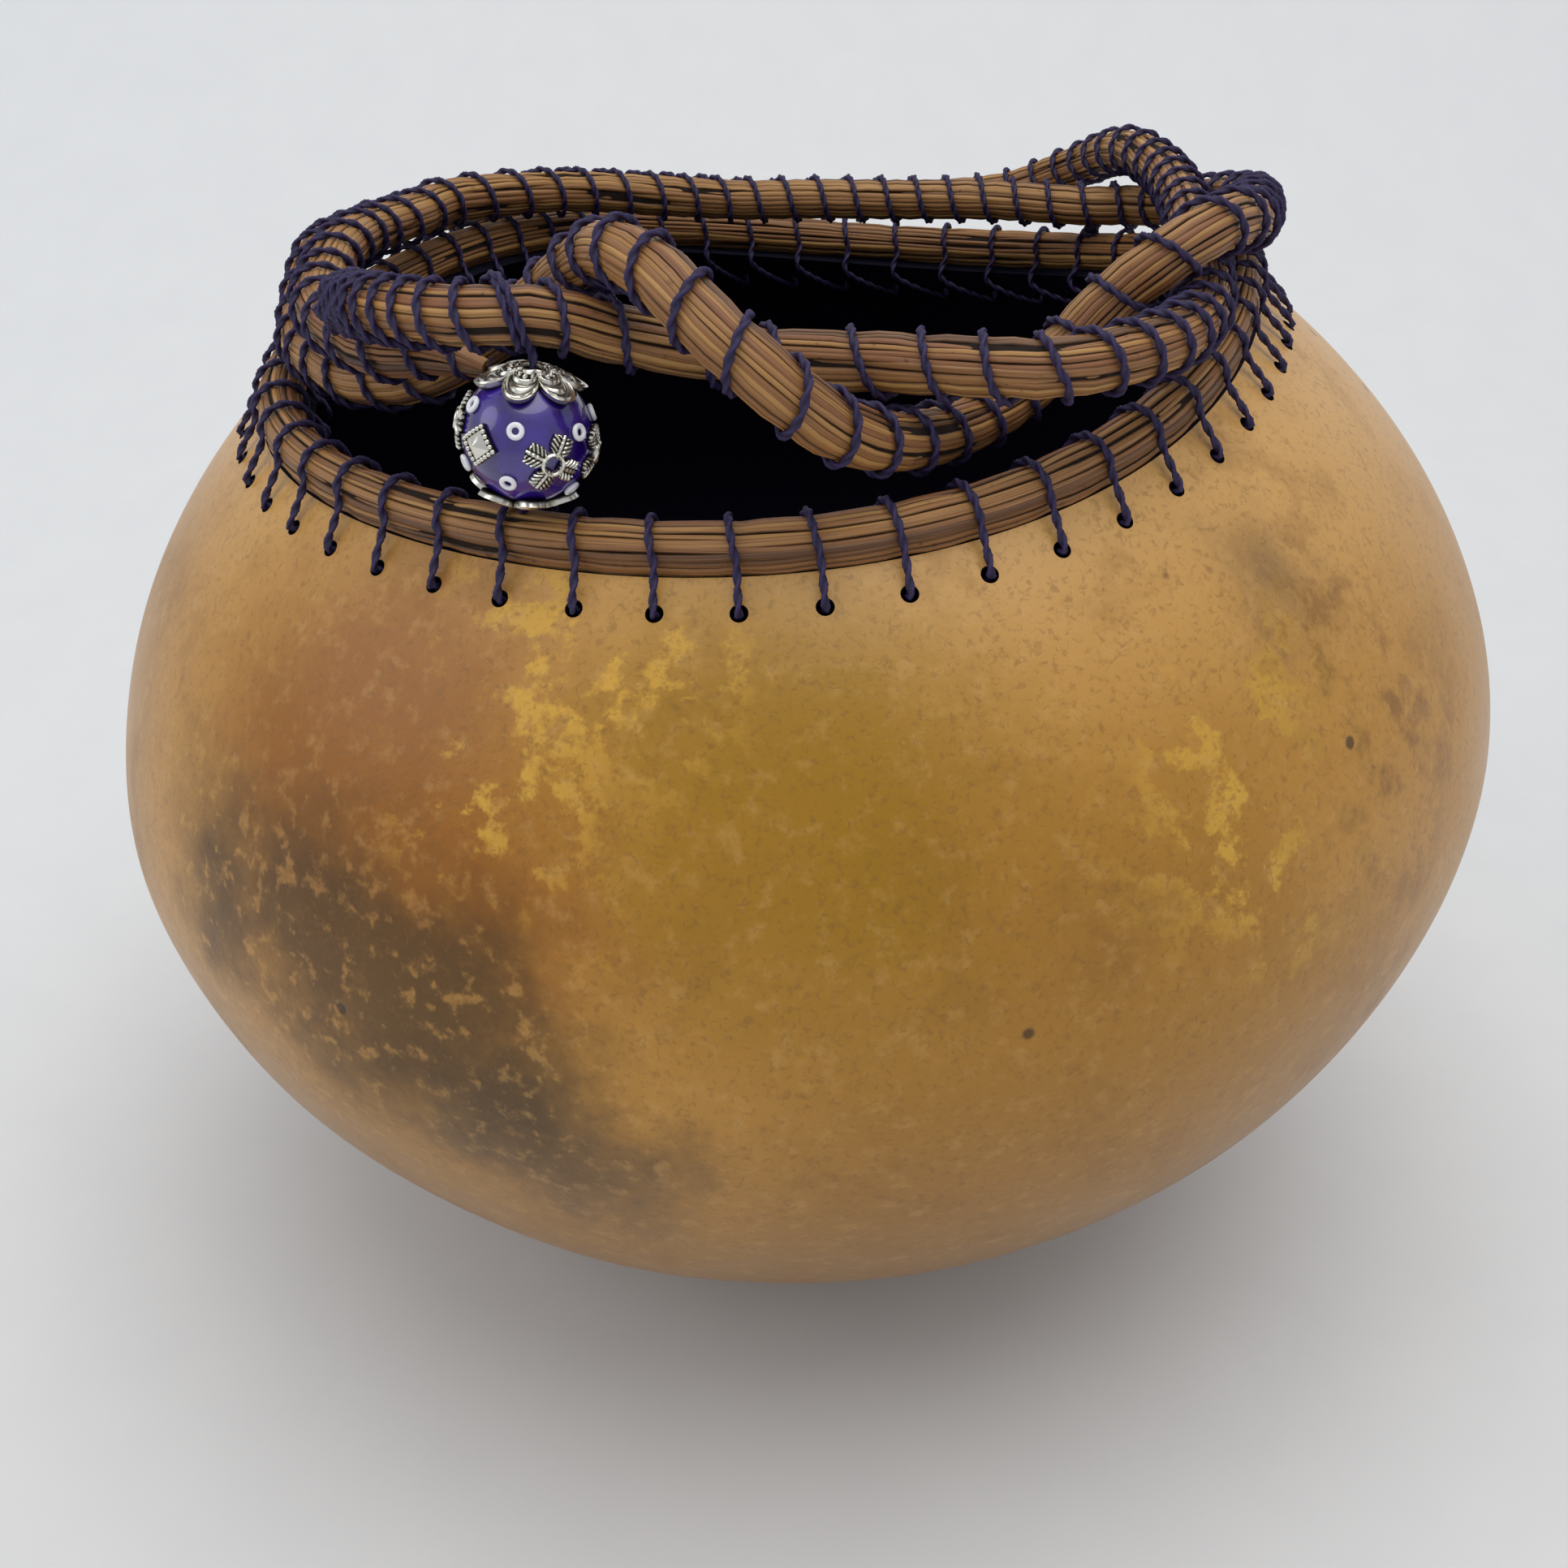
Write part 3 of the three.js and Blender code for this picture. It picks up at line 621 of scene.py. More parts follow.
def bundle_sheet():
    """Lays needles side by side round a path and follows it with them, over a core coloured near black as
    painted shade in the gaps between needles.
    The path's points keep the thread's turns and pitch, and needles dip under the thread."""
    sheet, given = geometry_sheet("needle_bundle", {
        "Needles": "Int", "Radius": "Float", "Needle Width": "Float", "Needle Thickness": "Float",
        "Needle Length": "Float", "Step": "Float", "Twist": "Float", "Thread Slant": "Float",
        "Pinch": "Float", "Seed": "Int", "Material": "Material", "Core Share": "Float",
    })
    line = sheet.node("GeometryNodeMeshToCurve", None, [given["Geometry"]])[0]
    line = even_line(sheet, line, given["Step"])
    line = stored(sheet, line, "along", sheet.node("GeometryNodeSplineParameter")["Length"])
    line = with_spokes(sheet, line)
    copies = sheet.node("GeometryNodeDuplicateElements", {"domain": "SPLINE"},
                        {"Geometry": line, "Amount": given["Needles"]})
    blades = stored(sheet, copies["Geometry"], "blade", copies["Duplicate Index"])
    blade = named(sheet, "blade")
    along = named(sheet, "along")
    place = sheet.node("GeometryNodeInputPosition")[0]
    own = chance(sheet, "2D", blade, given["Seed"], 0.0)

    def wander(scale, shift):
        inputs = {"Vector": place, "W": blade * 3.7 + shift, "Scale": scale, "Detail": 1.0}
        return sheet.node("ShaderNodeTexNoise", {"noise_dimensions": "4D"}, inputs)["Fac"] - 0.5

    passed = along / given["Needle Length"] + own
    number = passed.math("FLOOR", passed)
    share = passed.math("FRACT", passed)
    to_end = share.math("MINIMUM", share, 1 - share) * given["Needle Length"]
    taper = sheet.step(to_end, 0.0, NEEDLE_TIP)
    spacing = 2 * math.pi / given["Needles"]
    turn = blade * spacing + along * given["Twist"] + wander(28.0, 0.0) * spacing * NEEDLE_DRIFT
    lap = named(sheet, "turns") - turn * given["Thread Slant"] / (2 * math.pi)
    from_thread = (lap - lap.math("ROUND", lap)) * named(sheet, "pitch") / DIP_WIDTH
    pinch = from_thread.math("EXPONENT", from_thread * from_thread * -1.0) * given["Pinch"]
    reach = given["Radius"] - given["Needle Thickness"] * 0.5 - pinch
    reach = reach + wander(35.0, 50.0) * NEEDLE_LIFT + (taper - 1) * NEEDLE_TIP_SINK
    outward = way_out(sheet, turn, reach * named(sheet, "girth"))
    blades = stored(sheet, blades, "outward", sheet.vector("NORMALIZE", outward), "FLOAT_VECTOR")
    blades = stored(sheet, blades, "tint", chance(sheet, "3D", blade, number, given["Seed"]))
    width = (0.45 + taper * 0.55) * (0.7 + own * 0.55)
    blades = sheet.node("GeometryNodeSetCurveRadius", None, {"Curve": blades, "Radius": width})[0]
    blades = sheet.node("GeometryNodeSetPosition", None, {"Geometry": blades, "Offset": outward})[0]
    blades = sheet.node("GeometryNodeSetCurveNormal", {"mode": "FREE"},
                        {"Curve": blades, "Normal": named(sheet, "outward", "FLOAT_VECTOR")})[0]
    section = sheet.node("GeometryNodeCurvePrimitiveCircle", None, {"Resolution": 8, "Radius": 0.5})[0]
    section = stored(sheet, section, "across", side_to_side(sheet))
    size = sheet.node("ShaderNodeCombineXYZ", None, [given["Needle Thickness"], given["Needle Width"], 1.0])
    section = sheet.node("GeometryNodeTransform", None, {"Geometry": section, "Scale": size[0]})[0]
    core_section = sheet.node("GeometryNodeCurvePrimitiveCircle", None,
                              {"Resolution": 20, "Radius": given["Radius"] * given["Core Share"]})[0]
    # the core is tinted -1 so that its finish colours it near black, as painted shade seen between the
    # needles
    core = stored(sheet, line, "tint", -1.0)
    joined = sheet.node("GeometryNodeJoinGeometry")
    for path, profile, scale in ((core, core_section, named(sheet, "girth")),
                                 (blades, section, sheet.node("GeometryNodeInputRadius")[0])):
        solid = sheet.node("GeometryNodeCurveToMesh", None,
                           {"Curve": path, "Profile Curve": profile, "Fill Caps": True, "Scale": scale})[0]
        sheet.tree.links.new(solid.socket, joined.made.inputs[0])
    smooth = sheet.node("GeometryNodeSetShadeSmooth", None, [joined[0]])[0]
    close_sheet(sheet, smooth, given["Material"])
    return sheet


def needle_finish(light, middle, dark, red):
    material, sheet, shader, place = new_finish("pine_needles", Specular_IOR_Level=0.5)
    tint, along, across = (sheet.attribute(name) for name in ("tint", "along", "across"))
    lay = sheet.node("ShaderNodeCombineXYZ", None, [along * 12.0, across * 3.0, tint * 40.0])[0]
    streak = sheet.noise(lay, 4.0, 4.0, 0.75)["Fac"]
    stretch = sheet.node("ShaderNodeCombineXYZ", None, [along, tint * 90.0, 0.0])[0]
    drift = sheet.noise(stretch, 55.0, 3.0)["Fac"]
    flecks = sheet.step(sheet.noise(place, 900.0, 2.0)["Fac"], 0.62, 0.74)
    core = sheet.step(tint, 0.0, -0.5)
    stops = [(0.0, dark), (0.3, middle), (0.62, light), (0.8, middle), (0.93, red), (1.0, light)]
    ramp = {"stops": [(at, paint(shade)) for at, shade in stops]}
    colour = sheet.node("ShaderNodeValToRGB", ramp, [tint])["Color"]
    layers = [
        (sheet.step(drift, 0.42, 0.62) * 0.4, middle),
        (sheet.step(streak, 0.52, 0.62) * 0.6, dark),
        (sheet.step(streak, 0.45, 0.33) * 0.45, "d6b081"),
        (flecks * sheet.step(drift, 0.45, 0.6) * 0.6, "3a2117"),
        # painted shade: each needle is painted darker towards its edges, where it meets the next one
        (sheet.step(across * across, 0.08, 0.22) * 0.7, "2c190d"),
        # painted shade: the core is coloured near black brown, standing for the shaded depths between the
        # needles
        (core, "21130b"),
    ]
    for share, shade in layers:
        colour = sheet.mix(share, colour, paint(shade))
    roughness = 0.36 + streak * 0.25 + core * 0.5
    feed(sheet, shader, Base_Color=colour, Roughness=roughness, Normal=sheet.bump(0.35, 0.0001, streak))
    return material


def even_path(points, step):
    """The same line with points a step apart, how far along each is, and how long it is."""
    points = np.asarray(points)
    far = np.concatenate([[0], np.cumsum(np.linalg.norm(np.diff(points, axis=0), axis=1))])
    at = np.linspace(0, far[-1], round(far[-1] / step) + 1)
    return np.stack([np.interp(at, far, points[:, k]) for k in range(3)], axis=1), at, far[-1]


rim_angles = np.linspace(0, 2 * np.pi, RIM_POINTS, endpoint=False)
rim_line = on_gourd(wall_radius(rim_height(rim_angles)), rim_angles, rim_height(rim_angles))
rim_laps = rim_angles / (2 * np.pi) * STITCHES - FIRST_STITCH
rim_pitch = np.linalg.norm(rim_line - np.roll(rim_line, 1, axis=0), axis=1) * RIM_POINTS / STITCHES
needles = needle_finish("bb8b4c", "976637", "4a2c17", "855230")
bundles = bundle_sheet()
rim_coil = path_object("rim_needles", rim_line, True, turns=rim_laps, pitch=rim_pitch,
                       girth=np.ones(RIM_POINTS))
grow(rim_coil, bundles, Needles=NEEDLES_ROUND, Radius=RIM_BUNDLE_RADIUS, Needle_Width=NEEDLE_WIDTH,
     Needle_Thickness=NEEDLE_THICKNESS, Needle_Length=NEEDLE_LENGTH, Step=NEEDLE_STEP, Twist=0.0,
     Thread_Slant=0.0, Pinch=RIM_PINCH, Seed=3, Material=needles, Core_Share=CORE_SHARE)
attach(rim_coil, "root")
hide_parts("rim_coil")


# Rim lacing
# One waxed thread, twisted from two plies. Each stitch comes up inside the mouth, goes over the coil
# and in through its hole, and so on to the next.
THREAD_RADIUS = 0.00054
THREAD_CORNERS = 10
PLY_GROOVE = 0.42
THREAD_LAY = 0.0044
THREAD_STEP = 0.00055
STITCH_SLANT = math.radians(1.2)
STITCH_INSET = 0.0012
STITCH_START_DROP = 0.0015

# Where a stitch goes round the rim coil, in degrees from outwards over the top, and then how far
# it is from the skin as it goes in through its hole
STITCH_TURNS = (200, 160, 125, 90, 55, 22, -8)
STITCH_DEPTHS = (0.0006, -0.0003, -0.0014, -WALL * 0.8, -WALL - STITCH_INSET)


def twisted(sheet, given, curve):
    """Follows a curve with thread of two plies that turn about each other."""
    curve = stored(sheet, curve, "along", sheet.node("GeometryNodeSplineParameter")["Length"])
    curve = sheet.node("GeometryNodeSetCurveTilt", None,
                       {"Curve": curve, "Tilt": named(sheet, "along") * (2 * math.pi) / given["Lay"]})[0]
    section = sheet.node("GeometryNodeCurvePrimitiveCircle", None,
                         {"Resolution": THREAD_CORNERS, "Radius": given["Thread Radius"]})[0]
    side = side_to_side(sheet) / given["Thread Radius"]
    section = stored(sheet, section, "groove", side * side)
    inward = sheet.scaled(sheet.node("GeometryNodeInputPosition")[0], named(sheet, "groove") * -PLY_GROOVE)
    section = sheet.node("GeometryNodeSetPosition", None, {"Geometry": section, "Offset": inward})[0]
    solid = sheet.node("GeometryNodeCurveToMesh", None,
                       {"Curve": curve, "Profile Curve": section, "Fill Caps": True})[0]
    smooth = sheet.node("GeometryNodeSetShadeSmooth", None, [solid])[0]
    close_sheet(sheet, smooth, given["Material"])


def laid_thread_sheet():
    sheet, given = geometry_sheet("laid_thread", {
        "Thread Radius": "Float", "Step": "Float", "Lay": "Float", "Material": "Material"})
    line = sheet.node("GeometryNodeMeshToCurve", None, [given["Geometry"]])[0]
    line = sheet.node("GeometryNodeCurveSplineType", {"spline_type": "CATMULL_ROM"}, [line])[0]
    twisted(sheet, given, even_line(sheet, line, given["Step"]))
    return sheet


def thread_finish():
    material, sheet, shader, place = new_finish("waxed_thread", Specular_IOR_Level=0.4)
    groove = sheet.attribute("groove")
    fuzz = sheet.noise(place, 2400.0, 3.0)["Fac"]
    # painted shade: the thread goes from its lit tone to its shaded tone in the groove between its plies, and
    # a little darker at random with the fuzz
    colour = sheet.mix(groove * 0.8 + fuzz * 0.3, paint("3d3260"), paint("1b1430"))
    relief = sheet.bump(0.6, 0.00012, fuzz - groove)
    feed(sheet, shader, Base_Color=colour, Roughness=0.5 + fuzz * 0.2, Normal=relief)
    return material


def rim_place(angle, outward, upward):
    z = rim_height(angle)
    return on_gourd(wall_radius(z) + outward, angle, z + upward)


def lacing_points():
    points = []
    around = RIM_BUNDLE_RADIUS + THREAD_RADIUS * 0.85
    for k in range(STITCHES):
        angle = stitch_angle(k)
        start = angle - STITCH_SLANT
        lip = cut_height(start)
        points.append(on_gourd(wall_radius(lip, WALL) - STITCH_INSET, start, lip - STITCH_START_DROP))
        for step, degrees in enumerate(STITCH_TURNS):
            over = math.radians(degrees)
            along = start + STITCH_SLANT * step / (len(STITCH_TURNS) - 1)
            points.append(rim_place(along, around * math.cos(over), around * math.sin(over)))
        middle, out = hole_axis(angle)
        points += [np.array(middle + out * far) for far in STITCH_DEPTHS]
    return points


laid_thread = laid_thread_sheet()
thread = thread_finish()
lacing = path_object("rim_stitches", lacing_points())
grow(lacing, laid_thread, Thread_Radius=THREAD_RADIUS, Step=THREAD_STEP, Lay=THREAD_LAY, Material=thread)
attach(lacing, "root")
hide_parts("rim_lacing")


# Free coil
# A second bundle of pine needles, springy enough to stand free of the rim. It starts in a tight lashing
# at the back left, crosses the front, and goes round the mouth about twice.
LOOP_ROUTE = [
    (-58, -50, 158), (-51, -59, 159.5), (-41.5, -65, 160.5), (-34.5, -64.5, 160.5), (-26, -61.5, 157.5),
    (-11.5, -59.5, 154.5), (1.5, -63, 155), (10.5, -66, 155.5), (19, -68, 156), (30.5, -60, 156),
    (38, -46, 155.5), (41.5, -30, 156), (44.5, -13, 155.5), (46.5, 3, 155.5), (48, 18, 155.5),
    (48.5, 34, 155.5), (46, 52, 155), (40, 70, 148.5), (29.5, 78, 143), (9, 81.5, 141),
    (-13.5, 80.5, 141), (-26, 77.5, 142.5), (-37, 70, 144.5), (-47, 62, 146.5), (-63.5, 43.5, 147.5),
    (-70, 34, 148), (-74.5, 22.5, 148), (-75.5, 11, 148.5), (-74.5, 0, 147.5), (-73, -12, 145),
    (-71, -20, 144), (-66.5, -28, 144.5), (-62, -34, 144.5), (-56, -38.5, 145.5), (-51.5, -41, 147),
    (-46, -42, 150), (-41.5, -43, 153), (-37, -47, 157), (-30.5, -54.5, 163.5), (-26, -63, 166.5),
    (-21, -70, 165.5), (-17, -74, 162.5), (-10.5, -77, 157.5), (-4.5, -74, 152), (1.5, -67.5, 148),
    (9.5, -58, 146), (17.5, -50, 147.5), (23, -46, 151.5), (28, -45.5, 157), (33, -46, 161.5),
    (38, -43.5, 164), (43.5, -35, 163.5), (48, -24, 161), (52.5, -8, 159), (56, 8, 156.5),
    (55.5, 30, 152), (52.5, 46, 147.5), (47.5, 51.5, 146.5), (41.5, 53, 146), (26, 57.5, 146),
    (9, 60.5, 145.5), (-4.5, 61, 145.5), (-16.5, 60, 145.5), (-25.5, 57, 146.5), (-42.5, 49.5, 149),
    (-54, 40, 150.5), (-61.5, 32, 151), (-64, 24, 151), (-67.5, 13, 151.5), (-68.5, 3, 152.5),
    (-69, -8, 152.5), (-68, -19, 152), (-67, -26, 152), (-64.5, -34, 152), (-60.5, -41, 152),
    (-55.5, -46, 151.5), (-48.5, -49.5, 152), (-42.5, -52, 151),
]
LOOP_BUNDLE_RADIUS = 0.0032
LOOP_PINCH = 0.00028
LOOP_NEEDLES = 26
LOOP_TWIST = 6.0

# Distances along the coil, and the thread's pitch there, in millimetres
WRAP_PITCH = [
    (0, 1.15), (6, 1.25), (9, 2.6), (20, 3.6), (27, 4.2), (34, 6.5), (42, 9.2), (60, 9.6), (70, 7),
    (82, 6), (92, 5.4), (100, 5), (112, 5), (125, 6.5), (150, 8), (195, 7), (230, 5.5), (260, 6),
    (330, 7), (380, 7), (440, 6.2), (470, 6.4), (490, 6), (505, 6.4), (530, 7), (560, 6), (585, 6.5),
    (610, 9), (660, 9), (690, 6), (720, 5.4), (770, 5.8), (810, 7), (875, 7), (895, 5.5), (912, 5),
]
LOOP_END_TAPER = 0.014
LOOP_END_GIRTH = 0.25


def flowing_line(places, per_span=24):
    """A smooth line through places, which bends evenly however far apart they are."""
    places = np.asarray(places, float)
    ends = [2 * places[0] - places[1], *places, 2 * places[-1] - places[-2]]
    line = []
    for a, b, c, d in zip(ends, ends[1:], ends[2:], ends[3:]):
        gaps = [math.sqrt(np.linalg.norm(q - p)) for p, q in ((a, b), (b, c), (c, d))]
        ta, tb, tc, td = np.concatenate([[0.0], np.cumsum(gaps)])
        for t in np.linspace(tb, tc, per_span, endpoint=False):
            ab = a + (b - a) * (t - ta) / (tb - ta)
            bc = b + (c - b) * (t - tb) / (tc - tb)
            cd = c + (d - c) * (t - tc) / (td - tc)
            abc = ab + (bc - ab) * (t - ta) / (tc - ta)
            bcd = bc + (cd - bc) * (t - tb) / (td - tb)
            line.append(abc + (bcd - abc) * (t - tb) / (tc - tb))
    return [*line, places[-1]]


loop_places = [Vector(place) / 1000 - FLAT_SPOT for place in LOOP_ROUTE]
loop_line, loop_far, loop_length = even_path(flowing_line(loop_places), PATH_STEP)
loop_pitch = np.interp(loop_far, *np.transpose(WRAP_PITCH) / 1000)
loop_turns = np.concatenate([[0], np.cumsum(np.diff(loop_far) / ((loop_pitch[1:] + loop_pitch[:-1]) / 2))])
from_end = np.clip((loop_length - loop_far) / LOOP_END_TAPER, 0, 1)
loop_girth = LOOP_END_GIRTH + (1 - LOOP_END_GIRTH) * np.sin(from_end * np.pi / 2)
loop_coil = path_object("loop_needles", loop_line, turns=loop_turns, pitch=loop_pitch, girth=loop_girth)
grow(loop_coil, bundles, Needles=LOOP_NEEDLES, Radius=LOOP_BUNDLE_RADIUS, Needle_Width=NEEDLE_WIDTH,
     Needle_Thickness=NEEDLE_THICKNESS, Needle_Length=NEEDLE_LENGTH, Step=NEEDLE_STEP, Twist=LOOP_TWIST,
     Thread_Slant=1.0, Pinch=LOOP_PINCH, Seed=11, Material=needles, Core_Share=CORE_SHARE)
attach(loop_coil, "root")
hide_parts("loop_coil")


# Binding of the free coil
# The same waxed thread wound round the needles: closely at the lashed start, then opening out
# where the coil runs straight and closing up where it bends.
def wound_thread_sheet():
    sheet, given = geometry_sheet("wound_thread", {
        "Coil Radius": "Float", "Thread Radius": "Float", "Step": "Float", "Lay": "Float",
        "Path Step": "Float", "Material": "Material"})
    line = sheet.node("GeometryNodeMeshToCurve", None, [given["Geometry"]])[0]
    line = with_spokes(sheet, even_line(sheet, line, given["Path Step"]))
    reach = given["Coil Radius"] * named(sheet, "girth")
    outward = way_out(sheet, named(sheet, "turns") * (2 * math.pi), reach)
    line = sheet.node("GeometryNodeSetPosition", None, {"Geometry": line, "Offset": outward})[0]
    twisted(sheet, given, even_line(sheet, line, given["Step"]))
    return sheet


wound_thread = wound_thread_sheet()
binding = path_object("loop_wraps", loop_line, turns=loop_turns, girth=loop_girth)
grow(binding, wound_thread, Coil_Radius=LOOP_BUNDLE_RADIUS + THREAD_RADIUS * 0.6, Thread_Radius=THREAD_RADIUS,
     Step=THREAD_STEP, Lay=THREAD_LAY, Path_Step=0.0002, Material=thread)
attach(binding, "root")
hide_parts("loop_binding")


# Back tie
# A short post of the same thread, wound round itself, that joins the free coil to the rim coil at the back.
TIE_POST_TOP = Vector((0.042, 0.0541, 0.1428)) - FLAT_SPOT
TIE_POST_FOOT = Vector((0.042, 0.0546, 0.1414)) - FLAT_SPOT
TIE_POST_RADIUS = 0.0009
TIE_POST_PITCH = 0.00095
TIE_POST_SUNK = 0.0012

up_post = (TIE_POST_TOP - TIE_POST_FOOT).normalized()
post_line, post_far, _ = even_path(
    [TIE_POST_FOOT - up_post * TIE_POST_SUNK, TIE_POST_TOP + up_post * TIE_POST_SUNK], PATH_STEP / 4)
back_tie = path_object("back_lashing", post_line, turns=post_far / TIE_POST_PITCH,
                       girth=np.ones(len(post_line)))
grow(back_tie, wound_thread, Coil_Radius=TIE_POST_RADIUS, Thread_Radius=THREAD_RADIUS, Step=THREAD_STEP / 2,
     Lay=THREAD_LAY, Path_Step=0.0001, Material=thread)
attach(back_tie, "root")
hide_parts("back_tie")


# Bead
# A round bead of deep purple, hand shaped and thickly varnished, so its gloss is a little uneven.
BEAD_CENTRE = Vector((-0.0362, -0.0668, 0.1484)) - FLAT_SPOT
BEAD_RADIUS = 0.00695
BEAD_BORE_RADIUS = 0.0011
BEAD_OPENING = math.asin(BEAD_BORE_RADIUS / BEAD_RADIUS)
BEAD_TURN = Matrix.Rotation(math.radians(8), 3, "Y")
BEAD_SEGMENTS = 96
BEAD_ROWS = 64
BEAD_SWELL = 0.00003


def bead_way(turn, height):
    """The way out of the bead at a turn round its bore and a height angle."""
    flat = math.cos(height)
    return BEAD_TURN @ Vector((flat * math.cos(turn), flat * math.sin(turn), math.sin(height)))


def bead_mesh():
    highest = math.pi / 2 - BEAD_OPENING
    vertices = []
    for row in range(BEAD_ROWS):
        height = highest * (2 * row / (BEAD_ROWS - 1) - 1)
        for k in range(BEAD_SEGMENTS):
            turn = 2 * math.pi * k / BEAD_SEGMENTS
            swell = math.sin(3 * turn + 2 * height) * math.sin(4 * height + 1) + math.sin(5 * turn - 1)
            reach = BEAD_RADIUS + BEAD_SWELL * swell * math.cos(height)
            vertices.append(BEAD_CENTRE + bead_way(turn, height) * reach)
    return new_object("bead", vertices, ring_faces(BEAD_ROWS, BEAD_SEGMENTS, True), math.radians(50))


def bead_finish():
    material, sheet, shader, place = new_finish(
        "purple_bead", Coat_Weight=1.0, Coat_Roughness=0.04, Specular_IOR_Level=0.6)
    clouds = sheet.noise(place, 220.0, 3.0, 0.5, 0.4)["Fac"]
    colour = sheet.mix(sheet.step(clouds, 0.35, 0.7), paint("220764"), paint("3b1d94"))
    relief = sheet.bump(0.25, 0.0003, sheet.noise(place, 330.0, 2.0)["Fac"])
    feed(sheet, shader, Base_Color=colour, Roughness=0.2 + clouds * 0.15, Normal=relief)
    return material


bead = bead_mesh()
bead.data.materials.append(bead_finish())
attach(bead, "root")
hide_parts("bead_core")


# Bead caps
# Two cast silver caps, one over each end of the bore. Six petals turn up a little at their tips,
# each with a raised oval on it, and the hollows of the relief are blackened.
CAP_PETALS = 6
CAP_HOLLOW_ANGLE = math.radians(25)
CAP_PETAL_ANGLE = math.radians(47)
CAP_BED = 0.0004
CAP_RELIEF = 0.00042
CAP_FLARE = 0.0005
CAP_SEGMENTS = 288
CAP_ROWS = 40
CAP_TURNS = {1: math.radians(19), -1: math.radians(-11)}
OVAL_MIDDLE = 0.66
OVAL_HALF_LENGTH = 0.24
OVAL_HALF_WIDTH = 0.36
BEADING_REPEATS = 18
SCROLL_WAVES = 27


def bump_at(value, middle, width):
    return math.exp(-(((value - middle) / width) ** 2))


def cap_relief(petal_turn, share, polar, turn):
    """How high the casting stands at a place, from 0 in its hollows to about 1 on its ridges."""
    from_oval = math.hypot(petal_turn * math.sin(polar) / OVAL_HALF_WIDTH,
                           (share - OVAL_MIDDLE) / OVAL_HALF_LENGTH)
    oval = bump_at(from_oval, 1.0, 0.3)
    boss = 0.8 * bump_at(from_oval, 0.0, 0.45)
    rim = 0.9 * bump_at(share, 1.0, 0.09)
    beading = bump_at(share, 0.24, 0.07) * (0.55 + 0.45 * math.cos(BEADING_REPEATS * turn))
    collar = bump_at(share, 0.06, 0.08)
    wave = math.sin(SCROLL_WAVES * polar + 3 * math.cos(CAP_PETALS * turn))
    scroll = 0.7 * bump_at(wave, 1.0, 0.5) * bump_at(share, 0.4, 0.12)
    return max(oval, boss, rim, beading, collar, scroll)


def cap_mesh(end):
    """A cap as two skins: its cast face, and its back, which lies on the bead."""
    vertices, relief = [], []
    lobe = 2 * math.pi / CAP_PETALS
    for row in range(2 * CAP_ROWS):
        outer = row < CAP_ROWS
        share = row / (CAP_ROWS - 1) if outer else 1 - (row - CAP_ROWS) / (CAP_ROWS - 1)
        for k in range(CAP_SEGMENTS):
            turn = 2 * math.pi * k / CAP_SEGMENTS
            petal_turn = (turn / lobe - round(turn / lobe)) * lobe
            petal = abs(math.cos(turn * CAP_PETALS / 2))
            edge = CAP_HOLLOW_ANGLE + (CAP_PETAL_ANGLE - CAP_HOLLOW_ANGLE) * petal ** 0.7
            polar = BEAD_OPENING + (edge - BEAD_OPENING) * share
            standing = cap_relief(petal_turn, share, polar, turn) if outer else 0.0
            reach = BEAD_RADIUS + CAP_FLARE * petal ** 2 * share ** 4
            if outer:
                reach += CAP_BED + CAP_RELIEF * standing
            way = bead_way(turn * end + CAP_TURNS[end], end * (math.pi / 2 - polar))
            vertices.append(BEAD_CENTRE + way * reach)
            relief.append(standing)
    faces = ring_faces(2 * CAP_ROWS, CAP_SEGMENTS, True)
    cap = new_object("cap_top" if end > 0 else "cap_bottom", vertices, faces, math.radians(40))
    keep_numbers(cap.data, "worn", relief)
    return cap


def silver_finish():
    material, sheet, shader, place = new_finish("aged_silver", Metallic=1.0)
    smoke = sheet.noise(place, 900.0, 3.0)["Fac"]
    bare = sheet.step(sheet.attribute("worn") + (smoke - 0.5) * 0.3, 0.12, 0.5)
    colour = sheet.mix(bare, paint("2a2420"), paint("e4e1d6"))
    roughness = 0.5 - bare * 0.3 + smoke * 0.1
    feed(sheet, shader, Base_Color=colour, Roughness=roughness, Normal=sheet.bump(0.3, 0.0001, smoke))
    return material


silver = silver_finish()
for end, node in ((1, "bead_cap_top"), (-1, "bead_cap_bottom")):
    cap = cap_mesh(end)
    cap.data.materials.append(silver)
    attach(cap, "root")
    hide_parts(node)


# Ring seed beads
# Ten small rings of milk-white glass, pressed flat onto the bead before it was varnished.
# A place is a turn round the bore and a height, in degrees, and for the castings a spin too.
RINGLET_PLACES = [
    (-95, 22), (-34, 20), (-152, 30), (-152, -22), (-99, -25), (-26, -36),
    (14, 24), (40, -24), (92, 24), (132, -30),
]
RINGLET_RADIUS = 0.00063
RINGLET_TUBE = 0.00028


def press(points, turn, height, spin=0.0):
    """Lays flat work, drawn at x and y with z outwards, on the bead at a turn and height in degrees."""
    turn, height, spin = (math.radians(degrees) for degrees in (turn, height, spin))
    away = bead_way(turn, height)
    side = BEAD_TURN @ Vector((-math.sin(turn), math.cos(turn), 0))
    up = away.cross(side)
    placed = []
    for x, y, z in points:
        right = x * math.cos(spin) - y * math.sin(spin)
        rise = x * math.sin(spin) + y * math.cos(spin)
        way = (away * BEAD_RADIUS + side * right + up * rise).normalized()
        placed.append(BEAD_CENTRE + way * (BEAD_RADIUS + z))
    return placed


def ring_points(radius, tube, tall, around=28, corners=14):
    points = []
    for k in range(around):
        angle = 2 * math.pi * k / around
        for corner in range(corners):
            turn = 2 * math.pi * corner / corners
            flat = radius + tube * math.cos(turn)
            points.append((flat * math.cos(angle), flat * math.sin(angle), tall * (1 + math.sin(turn))))
    return points, ring_faces(around, corners, True)


